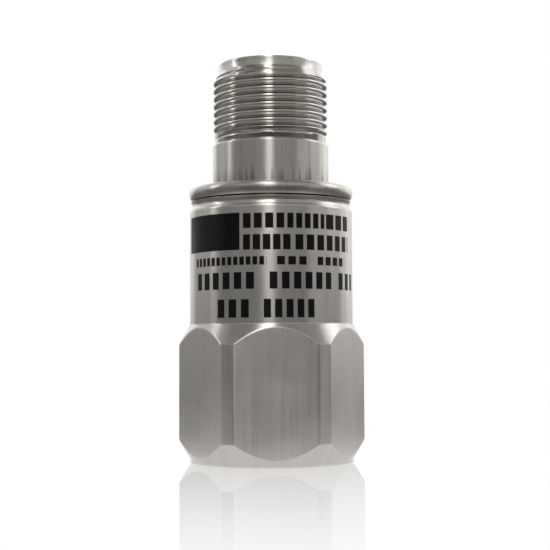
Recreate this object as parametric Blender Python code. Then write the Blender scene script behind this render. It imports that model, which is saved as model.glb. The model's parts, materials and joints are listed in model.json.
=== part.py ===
"""An industrial vibration sensor: a piezoelectric accelerometer in a steel case with a two-pin connector.

The case is one turned and milled piece: a hexagonal foot under a round body. The connector is a second steel
piece, welded to the case's neck. Inside, a stack of piezo rings under a heavy mass stands on its own base, and a
small amplifier board sits above it in a shielding can, electrically isolated from the case.

Everything is in metres. +Z is up, the origin is the centre of the foot, and a flat of the hexagon faces -Y.
"""

import math

import bmesh
import bpy

# Round pieces: how many facets go round the outside, the inner pieces, the pins and holes, and the leads' sides
OUTER_FACETS = 48
INNER_FACETS = 28
SMALL_FACETS = 12
LEAD_BEVEL_RESOLUTION = 1

# Room left between two pieces that touch: a flat seat, a sliding fit, and the weld in its joint
SEAT_CLEARANCE = 0.0001
FIT_CLEARANCE = 0.00015
WELD_CLEARANCE = 0.00004

# The hexagonal foot: how far its flats stand out from the body, its corners from the flats, and its two chamfers
FLAT_STEP = 0.00025
CORNER_REACH = 0.00125
FOOT_CHAMFER_REACH = 0.00176
FOOT_CHAMFER_HEIGHT = 0.0029
FOOT_HEIGHT = 0.0158
UPPER_CHAMFER_HEIGHT = 0.00265

# The tapped mounting hole in the foot, 1/4-28, and the solid floor above it
MOUNT_HOLE_DIAMETER = 0.0055
MOUNT_HOLE_DEPTH = 0.0062
MOUNT_HOLE_CHAMFER = 0.0006
DRILL_POINT_ANGLE = math.radians(118)
FLOOR_THICKNESS = 0.0028

# The round body and the neck that carries the connector
BODY_LENGTH = 0.01545
NECK_RECESS = 0.0004
NECK_ROUND_HEIGHT = 0.0007
NECK_LENGTH = 0.0005
NECK_WALL = 0.0022

# The weld between the neck and the connector's flange
WELD_HEIGHT = 0.00022
WELD_DEPTH = 0.0006
WELD_RECESS = 0.00006

# The connector's shell, sized from its 5/8-24 thread
THREAD_DIAMETER = 0.0157
THREAD_PITCH = 0.0254 / 24
THREAD_DEPTH = 0.00058
THREAD_RUNOUT = 0.0017
THREAD_LENGTH = 0.00675
THREAD_CREST_SHARE = 0.2
FLANGE_OVERHANG = 0.0001
FLANGE_THICKNESS = 0.00176
SPIGOT_LENGTH = 0.002
BARREL_STEP = 0.0001
BARREL_LENGTH = 0.0058
BARREL_FILLET = 0.0003
RELIEF_STEP = 0.0003
RELIEF_CHAMFER = 0.00025
LEAD_IN_STEP = 0.000725
LEAD_IN_CHAMFER_HEIGHT = 0.00135
LEAD_IN_LENGTH = 0.00123
RIM_WALL = 0.000725
RIM_ROUND = 0.0002
RIM_INNER_CHAMFER = 0.0003

# The socket, its insulator and its two contacts
SOCKET_DEPTH = 0.0095
GLASS_STEP = 0.0006
GLASS_THICKNESS = 0.0038
GLASS_LEDGE = 0.0007
KEY_WIDTH = 0.0018
KEY_REACH = 0.0009
KEY_RECESS = 0.00125
KEY_FOOT_GAP = 0.0004
PIN_DIAMETER = 0.0016
PIN_SPACING = 0.0048
PIN_TIP_RECESS = 0.0023
PIN_TAIL_LENGTH = 0.004
SOLDER_CUP_DIAMETER = 0.0009
SOLDER_CUP_DEPTH = 0.0014

# The isolated inner assembly: liner, can and insulators
LINER_WALL = 0.00035
CAN_WALL = 0.00035
FLOOR_INSULATOR_THICKNESS = 0.0008
TOP_INSULATOR_THICKNESS = 0.0005
BUSHING_DIAMETER = 0.0036
BUSHING_FLANGE_WIDTH = 0.0006
BUSHING_FLANGE_THICKNESS = 0.0005

# The sensing stack; the mass and the leads' room beside it set how wide everything round them is
MASS_DIAMETER = 0.0104
MASS_HEIGHT = 0.004
LEAD_ROOM = 0.0012
ELEMENT_BASE_THICKNESS = 0.0025
CAN_STEP_HEIGHT = 0.001
POST_DIAMETER = 0.003
POST_CHAMFER = 0.0003
SLEEVE_WALL = 0.0003
PIEZO_DIAMETER = 0.009
PIEZO_THICKNESS = 0.0015
ELECTRODE_THICKNESS = 0.00025
ELECTRODE_TAB_WIDTH = 0.0014
SPRING_DIAMETER = 0.0068
SPRING_THICKNESS = 0.0004
SPRING_RISE = 0.0004
NUT_ACROSS_FLATS = 0.0055
NUT_HEIGHT = 0.0018
POST_PROTRUSION = 0.0005

# The amplifier board on its spacer, and the parts on it
SPACER_WALL = 0.001
BOARD_THICKNESS = 0.0008
BOARD_HEADROOM = 0.0056
CHIP_SIZE = (0.0049, 0.0039, 0.0015)
CHIP_PLACE = (0.0, 0.0016)
CHIP_STANDOFF = 0.0001
CHIP_LEG_PITCH = 0.00127
CHIP_LEGS_PER_SIDE = 4
CHIP_LEG_WIDTH = 0.0004
CHIP_LEG_THICKNESS = 0.0002
CHIP_LEG_REACH = 0.001
COUPLING_CAPACITOR_SIZE = (0.0026, 0.0032, 0.0019)
COUPLING_CAPACITOR_PLACE = (-0.0035, -0.0029)
FEEDBACK_CAPACITOR_SIZE = (0.002, 0.00125, 0.001)
FEEDBACK_CAPACITOR_PLACE = (0.0034, -0.0022)
RESISTOR_SIZE = (0.002, 0.00125, 0.0005)
BIAS_RESISTOR_PLACE = (0.0034, -0.0040)
GAIN_RESISTOR_PLACE = (0.0, -0.0031)

# The leads
LEAD_DIAMETER = 0.0005
OUTPUT_PAD_SPACING = 0.0024
OUTPUT_PAD_OFFSET = 0.0056
OUTPUT_LEAD_SPACING = 0.0017

# Heights, worked out from the foot upwards
FOOT_TOP = FOOT_HEIGHT
BODY_BOTTOM = FOOT_TOP + UPPER_CHAMFER_HEIGHT
BODY_TOP = BODY_BOTTOM + BODY_LENGTH
NECK_BOTTOM = BODY_TOP + NECK_ROUND_HEIGHT
NECK_TOP = NECK_BOTTOM + NECK_LENGTH
CAVITY_FLOOR = MOUNT_HOLE_DEPTH + FLOOR_THICKNESS
FLANGE_BOTTOM = NECK_TOP + WELD_HEIGHT
FLANGE_TOP = FLANGE_BOTTOM + FLANGE_THICKNESS
BARREL_TOP = FLANGE_TOP + BARREL_LENGTH
THREAD_BOTTOM = BARREL_TOP + RELIEF_CHAMFER
THREAD_CHAMFER_START = THREAD_BOTTOM + THREAD_RUNOUT + THREAD_LENGTH
LEAD_IN_BOTTOM = THREAD_CHAMFER_START + LEAD_IN_CHAMFER_HEIGHT
RIM_TOP = LEAD_IN_BOTTOM + LEAD_IN_LENGTH
SPIGOT_BOTTOM = FLANGE_BOTTOM - SPIGOT_LENGTH
SOCKET_FLOOR = RIM_TOP - SOCKET_DEPTH
GLASS_BOTTOM = SOCKET_FLOOR - GLASS_THICKNESS
PIN_TIP = RIM_TOP - PIN_TIP_RECESS
PIN_TAIL = GLASS_BOTTOM - PIN_TAIL_LENGTH

# Radii, nested from the seismic mass outwards: the body comes to 22.2 mm across and the flats to 22.7 mm
LEAD_RADIUS = LEAD_DIAMETER / 2
MASS_RADIUS = MASS_DIAMETER / 2
SPACER_INNER_RADIUS = MASS_RADIUS + LEAD_ROOM
SPACER_RADIUS = SPACER_INNER_RADIUS + SPACER_WALL
CAN_INNER_RADIUS = SPACER_RADIUS + FIT_CLEARANCE
CAN_RADIUS = CAN_INNER_RADIUS + CAN_WALL
LINER_INNER_RADIUS = CAN_RADIUS + FIT_CLEARANCE
LINER_RADIUS = LINER_INNER_RADIUS + LINER_WALL
CAVITY_RADIUS = LINER_RADIUS + SEAT_CLEARANCE
NECK_RADIUS = CAVITY_RADIUS + NECK_WALL
BODY_RADIUS = NECK_RADIUS + NECK_RECESS
FLANGE_RADIUS = BODY_RADIUS + FLANGE_OVERHANG
FLAT_DISTANCE = BODY_RADIUS + FLAT_STEP
BAR_RADIUS = FLAT_DISTANCE + CORNER_REACH
FOOT_FACE_RADIUS = BAR_RADIUS - FOOT_CHAMFER_REACH

# Radii of the connector, from its thread inwards and outwards
THREAD_RADIUS = THREAD_DIAMETER / 2
BARREL_RADIUS = THREAD_RADIUS + BARREL_STEP
RELIEF_RADIUS = THREAD_RADIUS - RELIEF_STEP
LEAD_IN_RADIUS = THREAD_RADIUS - LEAD_IN_STEP
SOCKET_RADIUS = LEAD_IN_RADIUS - RIM_WALL
GLASS_RADIUS = SOCKET_RADIUS - GLASS_STEP
TAIL_BORE_RADIUS = GLASS_RADIUS - GLASS_LEDGE
PIN_RADIUS = PIN_DIAMETER / 2
BUSHING_RADIUS = BUSHING_DIAMETER / 2

# Radii of the stack
POST_RADIUS = POST_DIAMETER / 2
SLEEVE_RADIUS = POST_RADIUS + SEAT_CLEARANCE + SLEEVE_WALL
PIEZO_RADIUS = PIEZO_DIAMETER / 2
ELEMENT_LEAD_PLACE = MASS_RADIUS + LEAD_ROOM / 2

# The sensing stack, from the cavity's floor upwards
FLOOR_INSULATOR_BOTTOM = CAVITY_FLOOR + SEAT_CLEARANCE
ELEMENT_BASE_BOTTOM = FLOOR_INSULATOR_BOTTOM + FLOOR_INSULATOR_THICKNESS + SEAT_CLEARANCE
ELEMENT_BASE_TOP = ELEMENT_BASE_BOTTOM + ELEMENT_BASE_THICKNESS
CAN_STEP = ELEMENT_BASE_TOP - CAN_STEP_HEIGHT
LOWER_PIEZO_BOTTOM = ELEMENT_BASE_TOP + SEAT_CLEARANCE
ELECTRODE_BOTTOM = LOWER_PIEZO_BOTTOM + PIEZO_THICKNESS + SEAT_CLEARANCE
ELECTRODE_TOP = ELECTRODE_BOTTOM + ELECTRODE_THICKNESS
UPPER_PIEZO_BOTTOM = ELECTRODE_TOP + SEAT_CLEARANCE
UPPER_PIEZO_TOP = UPPER_PIEZO_BOTTOM + PIEZO_THICKNESS
MASS_BOTTOM = UPPER_PIEZO_TOP + SEAT_CLEARANCE
SPRING_BOTTOM = MASS_BOTTOM + MASS_HEIGHT + SEAT_CLEARANCE
NUT_BOTTOM = SPRING_BOTTOM + SPRING_RISE + SPRING_THICKNESS + SEAT_CLEARANCE
POST_TOP = NUT_BOTTOM + NUT_HEIGHT + POST_PROTRUSION

# The top of the inner assembly, from the connector downwards
TOP_INSULATOR_TOP = SPIGOT_BOTTOM - SEAT_CLEARANCE
TOP_INSULATOR_BOTTOM = TOP_INSULATOR_TOP - TOP_INSULATOR_THICKNESS
CAN_TOP = TOP_INSULATOR_BOTTOM - SEAT_CLEARANCE
CAN_CEILING = CAN_TOP - CAN_WALL
BOARD_TOP = CAN_CEILING - BOARD_HEADROOM
BOARD_BOTTOM = BOARD_TOP - BOARD_THICKNESS


def clear_scene():
    """Starts from an empty scene."""
    for thing in list(bpy.data.objects):
        bpy.data.objects.remove(thing, do_unlink=True)


def make_material(name, colour, roughness, metallic):
    """A Principled material; the colour is linear RGB."""
    material = bpy.data.materials.new(name)
    material.use_nodes = True
    shader = material.node_tree.nodes["Principled BSDF"]
    shader.inputs["Base Color"].default_value = (*colour, 1.0)
    shader.inputs["Roughness"].default_value = roughness
    shader.inputs["Metallic"].default_value = metallic
    material.diffuse_color = (*colour, 1.0)
    return material


def add_object(name, bm, material=None):
    """Turns a bmesh into an object of the scene, smooth except at its sharp edges."""
    bmesh.ops.recalc_face_normals(bm, faces=bm.faces)
    mesh = bpy.data.meshes.new(name)
    bm.to_mesh(mesh)
    bm.free()
    mesh.shade_smooth()
    mesh.set_sharp_from_angle(angle=math.radians(30))
    thing = bpy.data.objects.new(name, mesh)
    bpy.context.collection.objects.link(thing)
    if material:
        mesh.materials.append(material)
    return thing


def arc(centre, radius, start, end, steps):
    """Points (radius, height) on an arc of an outline; angles in degrees, from outwards towards up."""
    points = []
    for step in range(steps + 1):
        angle = math.radians(start + (end - start) * step / steps)
        points.append((centre[0] + radius * math.cos(angle), centre[1] + radius * math.sin(angle)))
    return points


def flatten_poles(bm, place):
    """Makes one face of the wedges that meet on the axis wherever they are flat."""
    poles = []
    for vertex in bm.verts:
        offset = math.hypot(vertex.co.x - place[0], vertex.co.y - place[1])
        heights = [edge.other_vert(vertex).co.z for edge in vertex.link_edges]
        if offset < 1e-7 and max(heights) - min(heights) < 1e-7 and abs(heights[0] - vertex.co.z) < 1e-7:
            poles.append(vertex)
    bmesh.ops.dissolve_verts(bm, verts=poles)


def turn(name, outline, facets, material=None, place=(0.0, 0.0)):
    """Turns an outline of (radius, height) points about a vertical axis.

    The outline is closed unless both its ends lie on the axis. It may be a function of the angle that gives the
    points there, as for a thread.
    """
    merge_distance = 1e-7
    bm = bmesh.new()
    columns = []
    for step in range(facets + 1):
        angle = 2 * math.pi * step / facets
        points = outline(angle) if callable(outline) else outline
        column = []
        for radius, height in points:
            x = place[0] + radius * math.cos(angle)
            y = place[1] + radius * math.sin(angle)
            column.append(bm.verts.new((x, y, height)))
        columns.append(column)
    ends_on_axis = points[0][0] == 0 and points[-1][0] == 0
    spans = len(points) - 1 if ends_on_axis else len(points)
    for left, right in zip(columns, columns[1:]):
        for row in range(spans):
            after = (row + 1) % len(points)
            bm.faces.new((left[row], right[row], right[after], left[after]))
    bmesh.ops.remove_doubles(bm, verts=bm.verts, dist=merge_distance)
    bmesh.ops.dissolve_degenerate(bm, edges=bm.edges, dist=merge_distance)
    if ends_on_axis:
        flatten_poles(bm, place)
    return add_object(name, bm, material)


def ring(name, inner, outer, bottom, top, facets, material=None, place=(0.0, 0.0)):
    """A washer or tube; an inner radius of 0 makes it a disc or a pin."""
    outline = [(inner, bottom), (outer, bottom), (outer, top), (inner, top)]
    return turn(name, outline, facets, material, place)


def block(name, size, place, bottom, material=None):
    """A rectangular block standing at a height, centred on a place."""
    bm = bmesh.new()
    bmesh.ops.create_cube(bm, size=1.0)
    bmesh.ops.scale(bm, vec=size, verts=bm.verts)
    bmesh.ops.translate(bm, vec=(place[0], place[1], bottom + size[2] / 2), verts=bm.verts)
    return add_object(name, bm, material)


def combine(target, tool, operation):
    """Adds or cuts with a second shape, which stays behind as a hidden guide."""
    tool.hide_render = True
    tool.display_type = "WIRE"
    boolean = target.modifiers.new(tool.name, "BOOLEAN")
    boolean.operation = operation
    boolean.object = tool
    boolean.solver = "EXACT"


def drill(target, places, radius, bottom, top):
    """Cuts round vertical holes through a piece."""
    for number, place in enumerate(places):
        tool = ring(f"drill_{target.name}_{number}", 0.0, radius, bottom, top, SMALL_FACETS, None, place)
        combine(target, tool, "DIFFERENCE")


def between(a, b, c, d, t):
    """The point a share t of the way from b to c, on a smooth curve past a, b, c and d (Catmull-Rom)."""
    pull = [(r - p) * t for p, r in zip(a, c)]
    bend = [(2 * p - 5 * q + 4 * r - s) * t**2 for p, q, r, s in zip(a, b, c, d)]
    twist = [(3 * q - p - 3 * r + s) * t**3 for p, q, r, s in zip(a, b, c, d)]
    return tuple(q + 0.5 * (u + v + w) for q, u, v, w in zip(b, pull, bend, twist))


def smooth_route(points, steps):
    """A smooth curve through the route's own points."""
    padded = [points[0], *points, points[-1]]
    route = []
    for a, b, c, d in zip(padded, padded[1:], padded[2:], padded[3:]):
        route.extend(between(a, b, c, d, step / steps) for step in range(steps))
    return [*route, points[-1]]


def lead(name, route, material):
    """A round wire along a route, with closed ends."""
    curve = bpy.data.curves.new(name, "CURVE")
    curve.dimensions = "3D"
    curve.bevel_depth = LEAD_RADIUS
    curve.bevel_resolution = LEAD_BEVEL_RESOLUTION
    curve.use_fill_caps = True
    curve.materials.append(material)
    spline = curve.splines.new("POLY")
    spline.points.add(len(route) - 1)
    for point, place in zip(spline.points, route):
        point.co = (*place, 1.0)
    bpy.context.collection.objects.link(bpy.data.objects.new(name, curve))


def sensor_case(material):
    """The foot, body and neck in one piece, with the mounting hole below and the cavity above."""
    hole_radius = MOUNT_HOLE_DIAMETER / 2
    drill_point = MOUNT_HOLE_DEPTH + hole_radius / math.tan(DRILL_POINT_ANGLE / 2)
    shoulder_steps = 4
    shoulder = []
    for step in range(shoulder_steps + 1):
        angle = math.pi / 2 * step / shoulder_steps
        shoulder.append(
            (NECK_RADIUS + NECK_RECESS * math.cos(angle), BODY_TOP + NECK_ROUND_HEIGHT * math.sin(angle))
        )
    outline = [
        (0.0, drill_point),
        (hole_radius, MOUNT_HOLE_DEPTH),
        (hole_radius, MOUNT_HOLE_CHAMFER),
        (hole_radius + MOUNT_HOLE_CHAMFER, 0.0),
        (FOOT_FACE_RADIUS, 0.0),
        (BAR_RADIUS, FOOT_CHAMFER_HEIGHT),
        (BAR_RADIUS, FOOT_TOP),
        (BODY_RADIUS, BODY_BOTTOM),
        *shoulder,
        (NECK_RADIUS, NECK_TOP),
        (CAVITY_RADIUS, NECK_TOP),
        (CAVITY_RADIUS, CAVITY_FLOOR),
        (0.0, CAVITY_FLOOR),
    ]
    case = turn("sensor_case", outline, OUTER_FACETS, material)
    corner_radius = FLAT_DISTANCE / math.cos(math.pi / 6)
    overshoot = 0.001
    milled = ring("milled_hexagon", 0.0, corner_radius, -overshoot, NECK_TOP + overshoot, 6)
    combine(case, milled, "INTERSECT")


def blank_radius(height):
    """The connector's outside at a height, before its thread is cut: relief, full diameter, then chamfer."""
    relief_end = THREAD_BOTTOM + THREAD_RUNOUT
    relief_rise = THREAD_RUNOUT / 4
    if height < relief_end:
        share = max(0.0, 1 - (relief_end - height) / relief_rise)
        return RELIEF_RADIUS + RELIEF_STEP * share
    if height < THREAD_CHAMFER_START:
        return THREAD_RADIUS
    share = (height - THREAD_CHAMFER_START) / LEAD_IN_CHAMFER_HEIGHT
    return THREAD_RADIUS - LEAD_IN_STEP * share


def thread_rows(angle):
    """The threaded stretch at one angle, with points at each groove bottom and on both sides of each crest."""
    flank_end = (1 - THREAD_CREST_SHARE) / 2
    shares = (0.0, flank_end, 1 - flank_end)
    turns = math.ceil((LEAD_IN_BOTTOM - THREAD_BOTTOM) / THREAD_PITCH) + 1
    rows = []
    for number in range(-1, turns):
        for share in shares:
            height = THREAD_BOTTOM + THREAD_PITCH * (number + share + angle / (2 * math.pi))
            height = min(max(height, THREAD_BOTTOM), LEAD_IN_BOTTOM)
            phase = ((height - THREAD_BOTTOM) / THREAD_PITCH - angle / (2 * math.pi)) % 1
            groove = max(0.0, 1 - min(phase, 1 - phase) / flank_end)
            depth = THREAD_DEPTH * min(1.0, (height - THREAD_BOTTOM) / THREAD_RUNOUT)
            rows.append((min(blank_radius(height), THREAD_RADIUS - depth * groove), height))
    return rows


def shell_outline(angle):
    """The connector shell's outline at one angle, from the spigot up the outside and down the inside."""
    spigot = CAVITY_RADIUS - SEAT_CLEARANCE
    bead = FLANGE_THICKNESS / 2
    bead_centre = (FLANGE_RADIUS - bead, FLANGE_BOTTOM + bead)
    fillet_centre = (BARREL_RADIUS + BARREL_FILLET, FLANGE_TOP + BARREL_FILLET)
    glass_pocket = GLASS_RADIUS + SEAT_CLEARANCE
    glass_seat = GLASS_BOTTOM - SEAT_CLEARANCE
    return [
        (TAIL_BORE_RADIUS, SPIGOT_BOTTOM),
        (spigot, SPIGOT_BOTTOM),
        (spigot, FLANGE_BOTTOM),
        *arc(bead_centre, bead, -90, 90, 6),
        *arc(fillet_centre, BARREL_FILLET, -90, -180, 2),
        (BARREL_RADIUS, BARREL_TOP),
        *thread_rows(angle),
        *arc((LEAD_IN_RADIUS - RIM_ROUND, RIM_TOP - RIM_ROUND), RIM_ROUND, 0, 90, 2),
        (SOCKET_RADIUS + RIM_INNER_CHAMFER, RIM_TOP),
        (SOCKET_RADIUS, RIM_TOP - RIM_INNER_CHAMFER),
        (SOCKET_RADIUS, SOCKET_FLOOR),
        (glass_pocket, SOCKET_FLOOR),
        (glass_pocket, glass_seat),
        (TAIL_BORE_RADIUS, glass_seat),
    ]


def connector_shell(material):
    """The welded-on receptacle: spigot, flange, barrel, thread and socket, with its key, in one piece."""
    shell = turn("connector_shell", shell_outline, OUTER_FACETS, material)
    root = SOCKET_RADIUS + RIM_WALL / 2
    inner_face = SOCKET_RADIUS - KEY_REACH
    size = (KEY_WIDTH, root - inner_face, SOCKET_DEPTH - KEY_RECESS - KEY_FOOT_GAP)
    key = block("socket_key", size, (0.0, -(root + inner_face) / 2), SOCKET_FLOOR + KEY_FOOT_GAP)
    combine(shell, key, "UNION")


def connector_contacts(glass, gold):
    """The glass insulator and the two pins through it, each with a solder cup at its tail."""
    places = [(-PIN_SPACING / 2, 0.0), (PIN_SPACING / 2, 0.0)]
    seal = ring("glass_seal", 0.0, GLASS_RADIUS, GLASS_BOTTOM, SOCKET_FLOOR, INNER_FACETS, glass)
    drill(seal, places, PIN_RADIUS + SEAT_CLEARANCE, GLASS_BOTTOM - PIN_RADIUS, SOCKET_FLOOR + PIN_RADIUS)
    cup = SOLDER_CUP_DIAMETER / 2
    outline = [
        (0.0, PIN_TAIL + SOLDER_CUP_DEPTH),
        (cup, PIN_TAIL + SOLDER_CUP_DEPTH),
        (cup, PIN_TAIL),
        (PIN_RADIUS, PIN_TAIL),
        *arc((0.0, PIN_TIP - PIN_RADIUS), PIN_RADIUS, 0, 90, 3)[:-1],
        (0.0, PIN_TIP),
    ]
    for name, place in zip(("contact_pin_a", "contact_pin_b"), places):
        turn(name, outline, SMALL_FACETS, gold, place)


def weld_bead(material):
    """The narrow weld between the neck and the flange."""
    outer = NECK_RADIUS - WELD_RECESS
    bottom = NECK_TOP + WELD_CLEARANCE
    ring("weld_bead", outer - WELD_DEPTH, outer, bottom, FLANGE_BOTTOM - WELD_CLEARANCE, OUTER_FACETS, material)


def isolation(plastic, ceramic, brass):
    """What keeps the inner assembly off the case, and the can that screens it."""
    ring(
        "case_liner",
        LINER_INNER_RADIUS,
        LINER_RADIUS,
        CAVITY_FLOOR + SEAT_CLEARANCE,
        TOP_INSULATOR_TOP,
        INNER_FACETS,
        plastic,
    )
    floor_top = FLOOR_INSULATOR_BOTTOM + FLOOR_INSULATOR_THICKNESS
    ring("floor_insulator", 0.0, CAN_RADIUS, FLOOR_INSULATOR_BOTTOM, floor_top, INNER_FACETS, ceramic)
    hole = BUSHING_RADIUS + SEAT_CLEARANCE
    ring("top_insulator", hole, CAN_RADIUS, TOP_INSULATOR_BOTTOM, TOP_INSULATOR_TOP, INNER_FACETS, plastic)
    can_bottom = CAN_STEP + SEAT_CLEARANCE
    outline = [
        (CAN_INNER_RADIUS, can_bottom),
        (CAN_RADIUS, can_bottom),
        (CAN_RADIUS, CAN_TOP),
        (hole, CAN_TOP),
        (hole, CAN_CEILING),
        (CAN_INNER_RADIUS, CAN_CEILING),
    ]
    turn("shield_can", outline, INNER_FACETS, brass)


def lead_bushing(material):
    """The insulating bushing that takes the output leads through the can's lid."""
    ceiling = CAN_CEILING - SEAT_CLEARANCE
    flange_bottom = ceiling - BUSHING_FLANGE_THICKNESS
    outline = [
        (0.0, flange_bottom),
        (BUSHING_RADIUS + BUSHING_FLANGE_WIDTH, flange_bottom),
        (BUSHING_RADIUS + BUSHING_FLANGE_WIDTH, ceiling),
        (BUSHING_RADIUS, ceiling),
        (BUSHING_RADIUS, TOP_INSULATOR_TOP),
        (0.0, TOP_INSULATOR_TOP),
    ]
    bushing = turn("lead_bushing", outline, INNER_FACETS, material)
    half = OUTPUT_LEAD_SPACING / 2
    overshoot = LEAD_DIAMETER
    drill(
        bushing,
        [(-half, 0.0), (half, 0.0)],
        LEAD_RADIUS + SEAT_CLEARANCE,
        flange_bottom - overshoot,
        TOP_INSULATOR_TOP + overshoot,
    )


def sensing_stack(steel, plastic, piezo, brass, tungsten):
    """The base with its post, and everything that is clamped on it."""
    base = [
        (0.0, ELEMENT_BASE_BOTTOM),
        (CAN_RADIUS, ELEMENT_BASE_BOTTOM),
        (CAN_RADIUS, CAN_STEP),
        (SPACER_RADIUS, CAN_STEP),
        (SPACER_RADIUS, ELEMENT_BASE_TOP),
        (POST_RADIUS, ELEMENT_BASE_TOP),
        (POST_RADIUS, POST_TOP - POST_CHAMFER),
        (POST_RADIUS - POST_CHAMFER, POST_TOP),
        (0.0, POST_TOP),
    ]
    turn("element_base", base, INNER_FACETS, steel)

    post_hole = POST_RADIUS + SEAT_CLEARANCE
    stack_hole = SLEEVE_RADIUS + SEAT_CLEARANCE
    ring("post_sleeve", post_hole, SLEEVE_RADIUS, LOWER_PIEZO_BOTTOM, UPPER_PIEZO_TOP, INNER_FACETS, plastic)
    for name, bottom in (("piezo_ring_lower", LOWER_PIEZO_BOTTOM), ("piezo_ring_upper", UPPER_PIEZO_BOTTOM)):
        ring(name, stack_hole, PIEZO_RADIUS, bottom, bottom + PIEZO_THICKNESS, INNER_FACETS, piezo)

    electrode = ring(
        "signal_electrode", stack_hole, PIEZO_RADIUS, ELECTRODE_BOTTOM, ELECTRODE_TOP, INNER_FACETS, brass
    )
    tab_start = (stack_hole + PIEZO_RADIUS) / 2
    tab_end = ELEMENT_LEAD_PLACE + LEAD_RADIUS
    tab_size = (tab_end - tab_start, ELECTRODE_TAB_WIDTH, ELECTRODE_THICKNESS)
    tab = block("electrode_tab", tab_size, ((tab_start + tab_end) / 2, 0.0), ELECTRODE_BOTTOM)
    combine(electrode, tab, "UNION")

    mass_top = MASS_BOTTOM + MASS_HEIGHT
    ring("seismic_mass", post_hole, MASS_RADIUS, MASS_BOTTOM, mass_top, INNER_FACETS, tungsten)
    spring = [
        (post_hole, SPRING_BOTTOM + SPRING_RISE),
        (SPRING_DIAMETER / 2, SPRING_BOTTOM),
        (SPRING_DIAMETER / 2, SPRING_BOTTOM + SPRING_THICKNESS),
        (post_hole, SPRING_BOTTOM + SPRING_RISE + SPRING_THICKNESS),
    ]
    turn("spring_washer", spring, INNER_FACETS, steel)

    nut_corner = NUT_ACROSS_FLATS / 2 / math.cos(math.pi / 6)
    nut = ring("preload_nut", 0.0, nut_corner, NUT_BOTTOM, NUT_BOTTOM + NUT_HEIGHT, 6, steel)
    overshoot = POST_PROTRUSION
    bore = ring(
        "nut_bore", 0.0, post_hole, NUT_BOTTOM - overshoot, NUT_BOTTOM + NUT_HEIGHT + overshoot, INNER_FACETS
    )
    combine(nut, bore, "DIFFERENCE")


def amplifier_chip(material):
    """The amplifier in its moulded package, with bent legs along two sides."""
    bottom = BOARD_TOP + SEAT_CLEARANCE
    chip = block("amplifier_chip", CHIP_SIZE, CHIP_PLACE, bottom + CHIP_STANDOFF, material)
    first = -(CHIP_LEGS_PER_SIDE - 1) / 2
    shin_height = CHIP_STANDOFF + CHIP_SIZE[2] / 2
    for side in (-1, 1):
        for number in range(CHIP_LEGS_PER_SIDE):
            x = CHIP_PLACE[0] + (first + number) * CHIP_LEG_PITCH
            edge = CHIP_PLACE[1] + side * CHIP_SIZE[1] / 2
            shin = block(
                f"leg_shin_{side}_{number}",
                (CHIP_LEG_WIDTH, CHIP_LEG_REACH, shin_height),
                (x, edge),
                bottom,
            )
            combine(chip, shin, "UNION")
            foot = block(
                f"leg_foot_{side}_{number}",
                (CHIP_LEG_WIDTH, CHIP_LEG_REACH, CHIP_LEG_THICKNESS),
                (x, edge + side * CHIP_LEG_REACH / 2),
                bottom,
            )
            combine(chip, foot, "UNION")


def amplifier_board(board_material, plastic, dark, ceramic, tantalum):
    """The spacer, the board on it and the parts soldered to the board."""
    spacer_bottom = ELEMENT_BASE_TOP + SEAT_CLEARANCE
    spacer_top = BOARD_BOTTOM - SEAT_CLEARANCE
    ring("board_spacer", SPACER_INNER_RADIUS, SPACER_RADIUS, spacer_bottom, spacer_top, INNER_FACETS, plastic)
    board = ring("amplifier_board", 0.0, SPACER_RADIUS, BOARD_BOTTOM, BOARD_TOP, INNER_FACETS, board_material)
    pad = OUTPUT_PAD_SPACING / 2
    places = [
        (-ELEMENT_LEAD_PLACE, 0.0),
        (ELEMENT_LEAD_PLACE, 0.0),
        (-pad, -OUTPUT_PAD_OFFSET),
        (pad, -OUTPUT_PAD_OFFSET),
    ]
    overshoot = LEAD_DIAMETER
    drill(board, places, LEAD_RADIUS + FIT_CLEARANCE, BOARD_BOTTOM - overshoot, BOARD_TOP + overshoot)
    amplifier_chip(dark)
    seat = BOARD_TOP + SEAT_CLEARANCE
    block("coupling_capacitor", COUPLING_CAPACITOR_SIZE, COUPLING_CAPACITOR_PLACE, seat, tantalum)
    block("feedback_capacitor", FEEDBACK_CAPACITOR_SIZE, FEEDBACK_CAPACITOR_PLACE, seat, ceramic)
    block("bias_resistor", RESISTOR_SIZE, BIAS_RESISTOR_PLACE, seat, dark)
    block("gain_resistor", RESISTOR_SIZE, GAIN_RESISTOR_PLACE, seat, dark)


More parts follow.
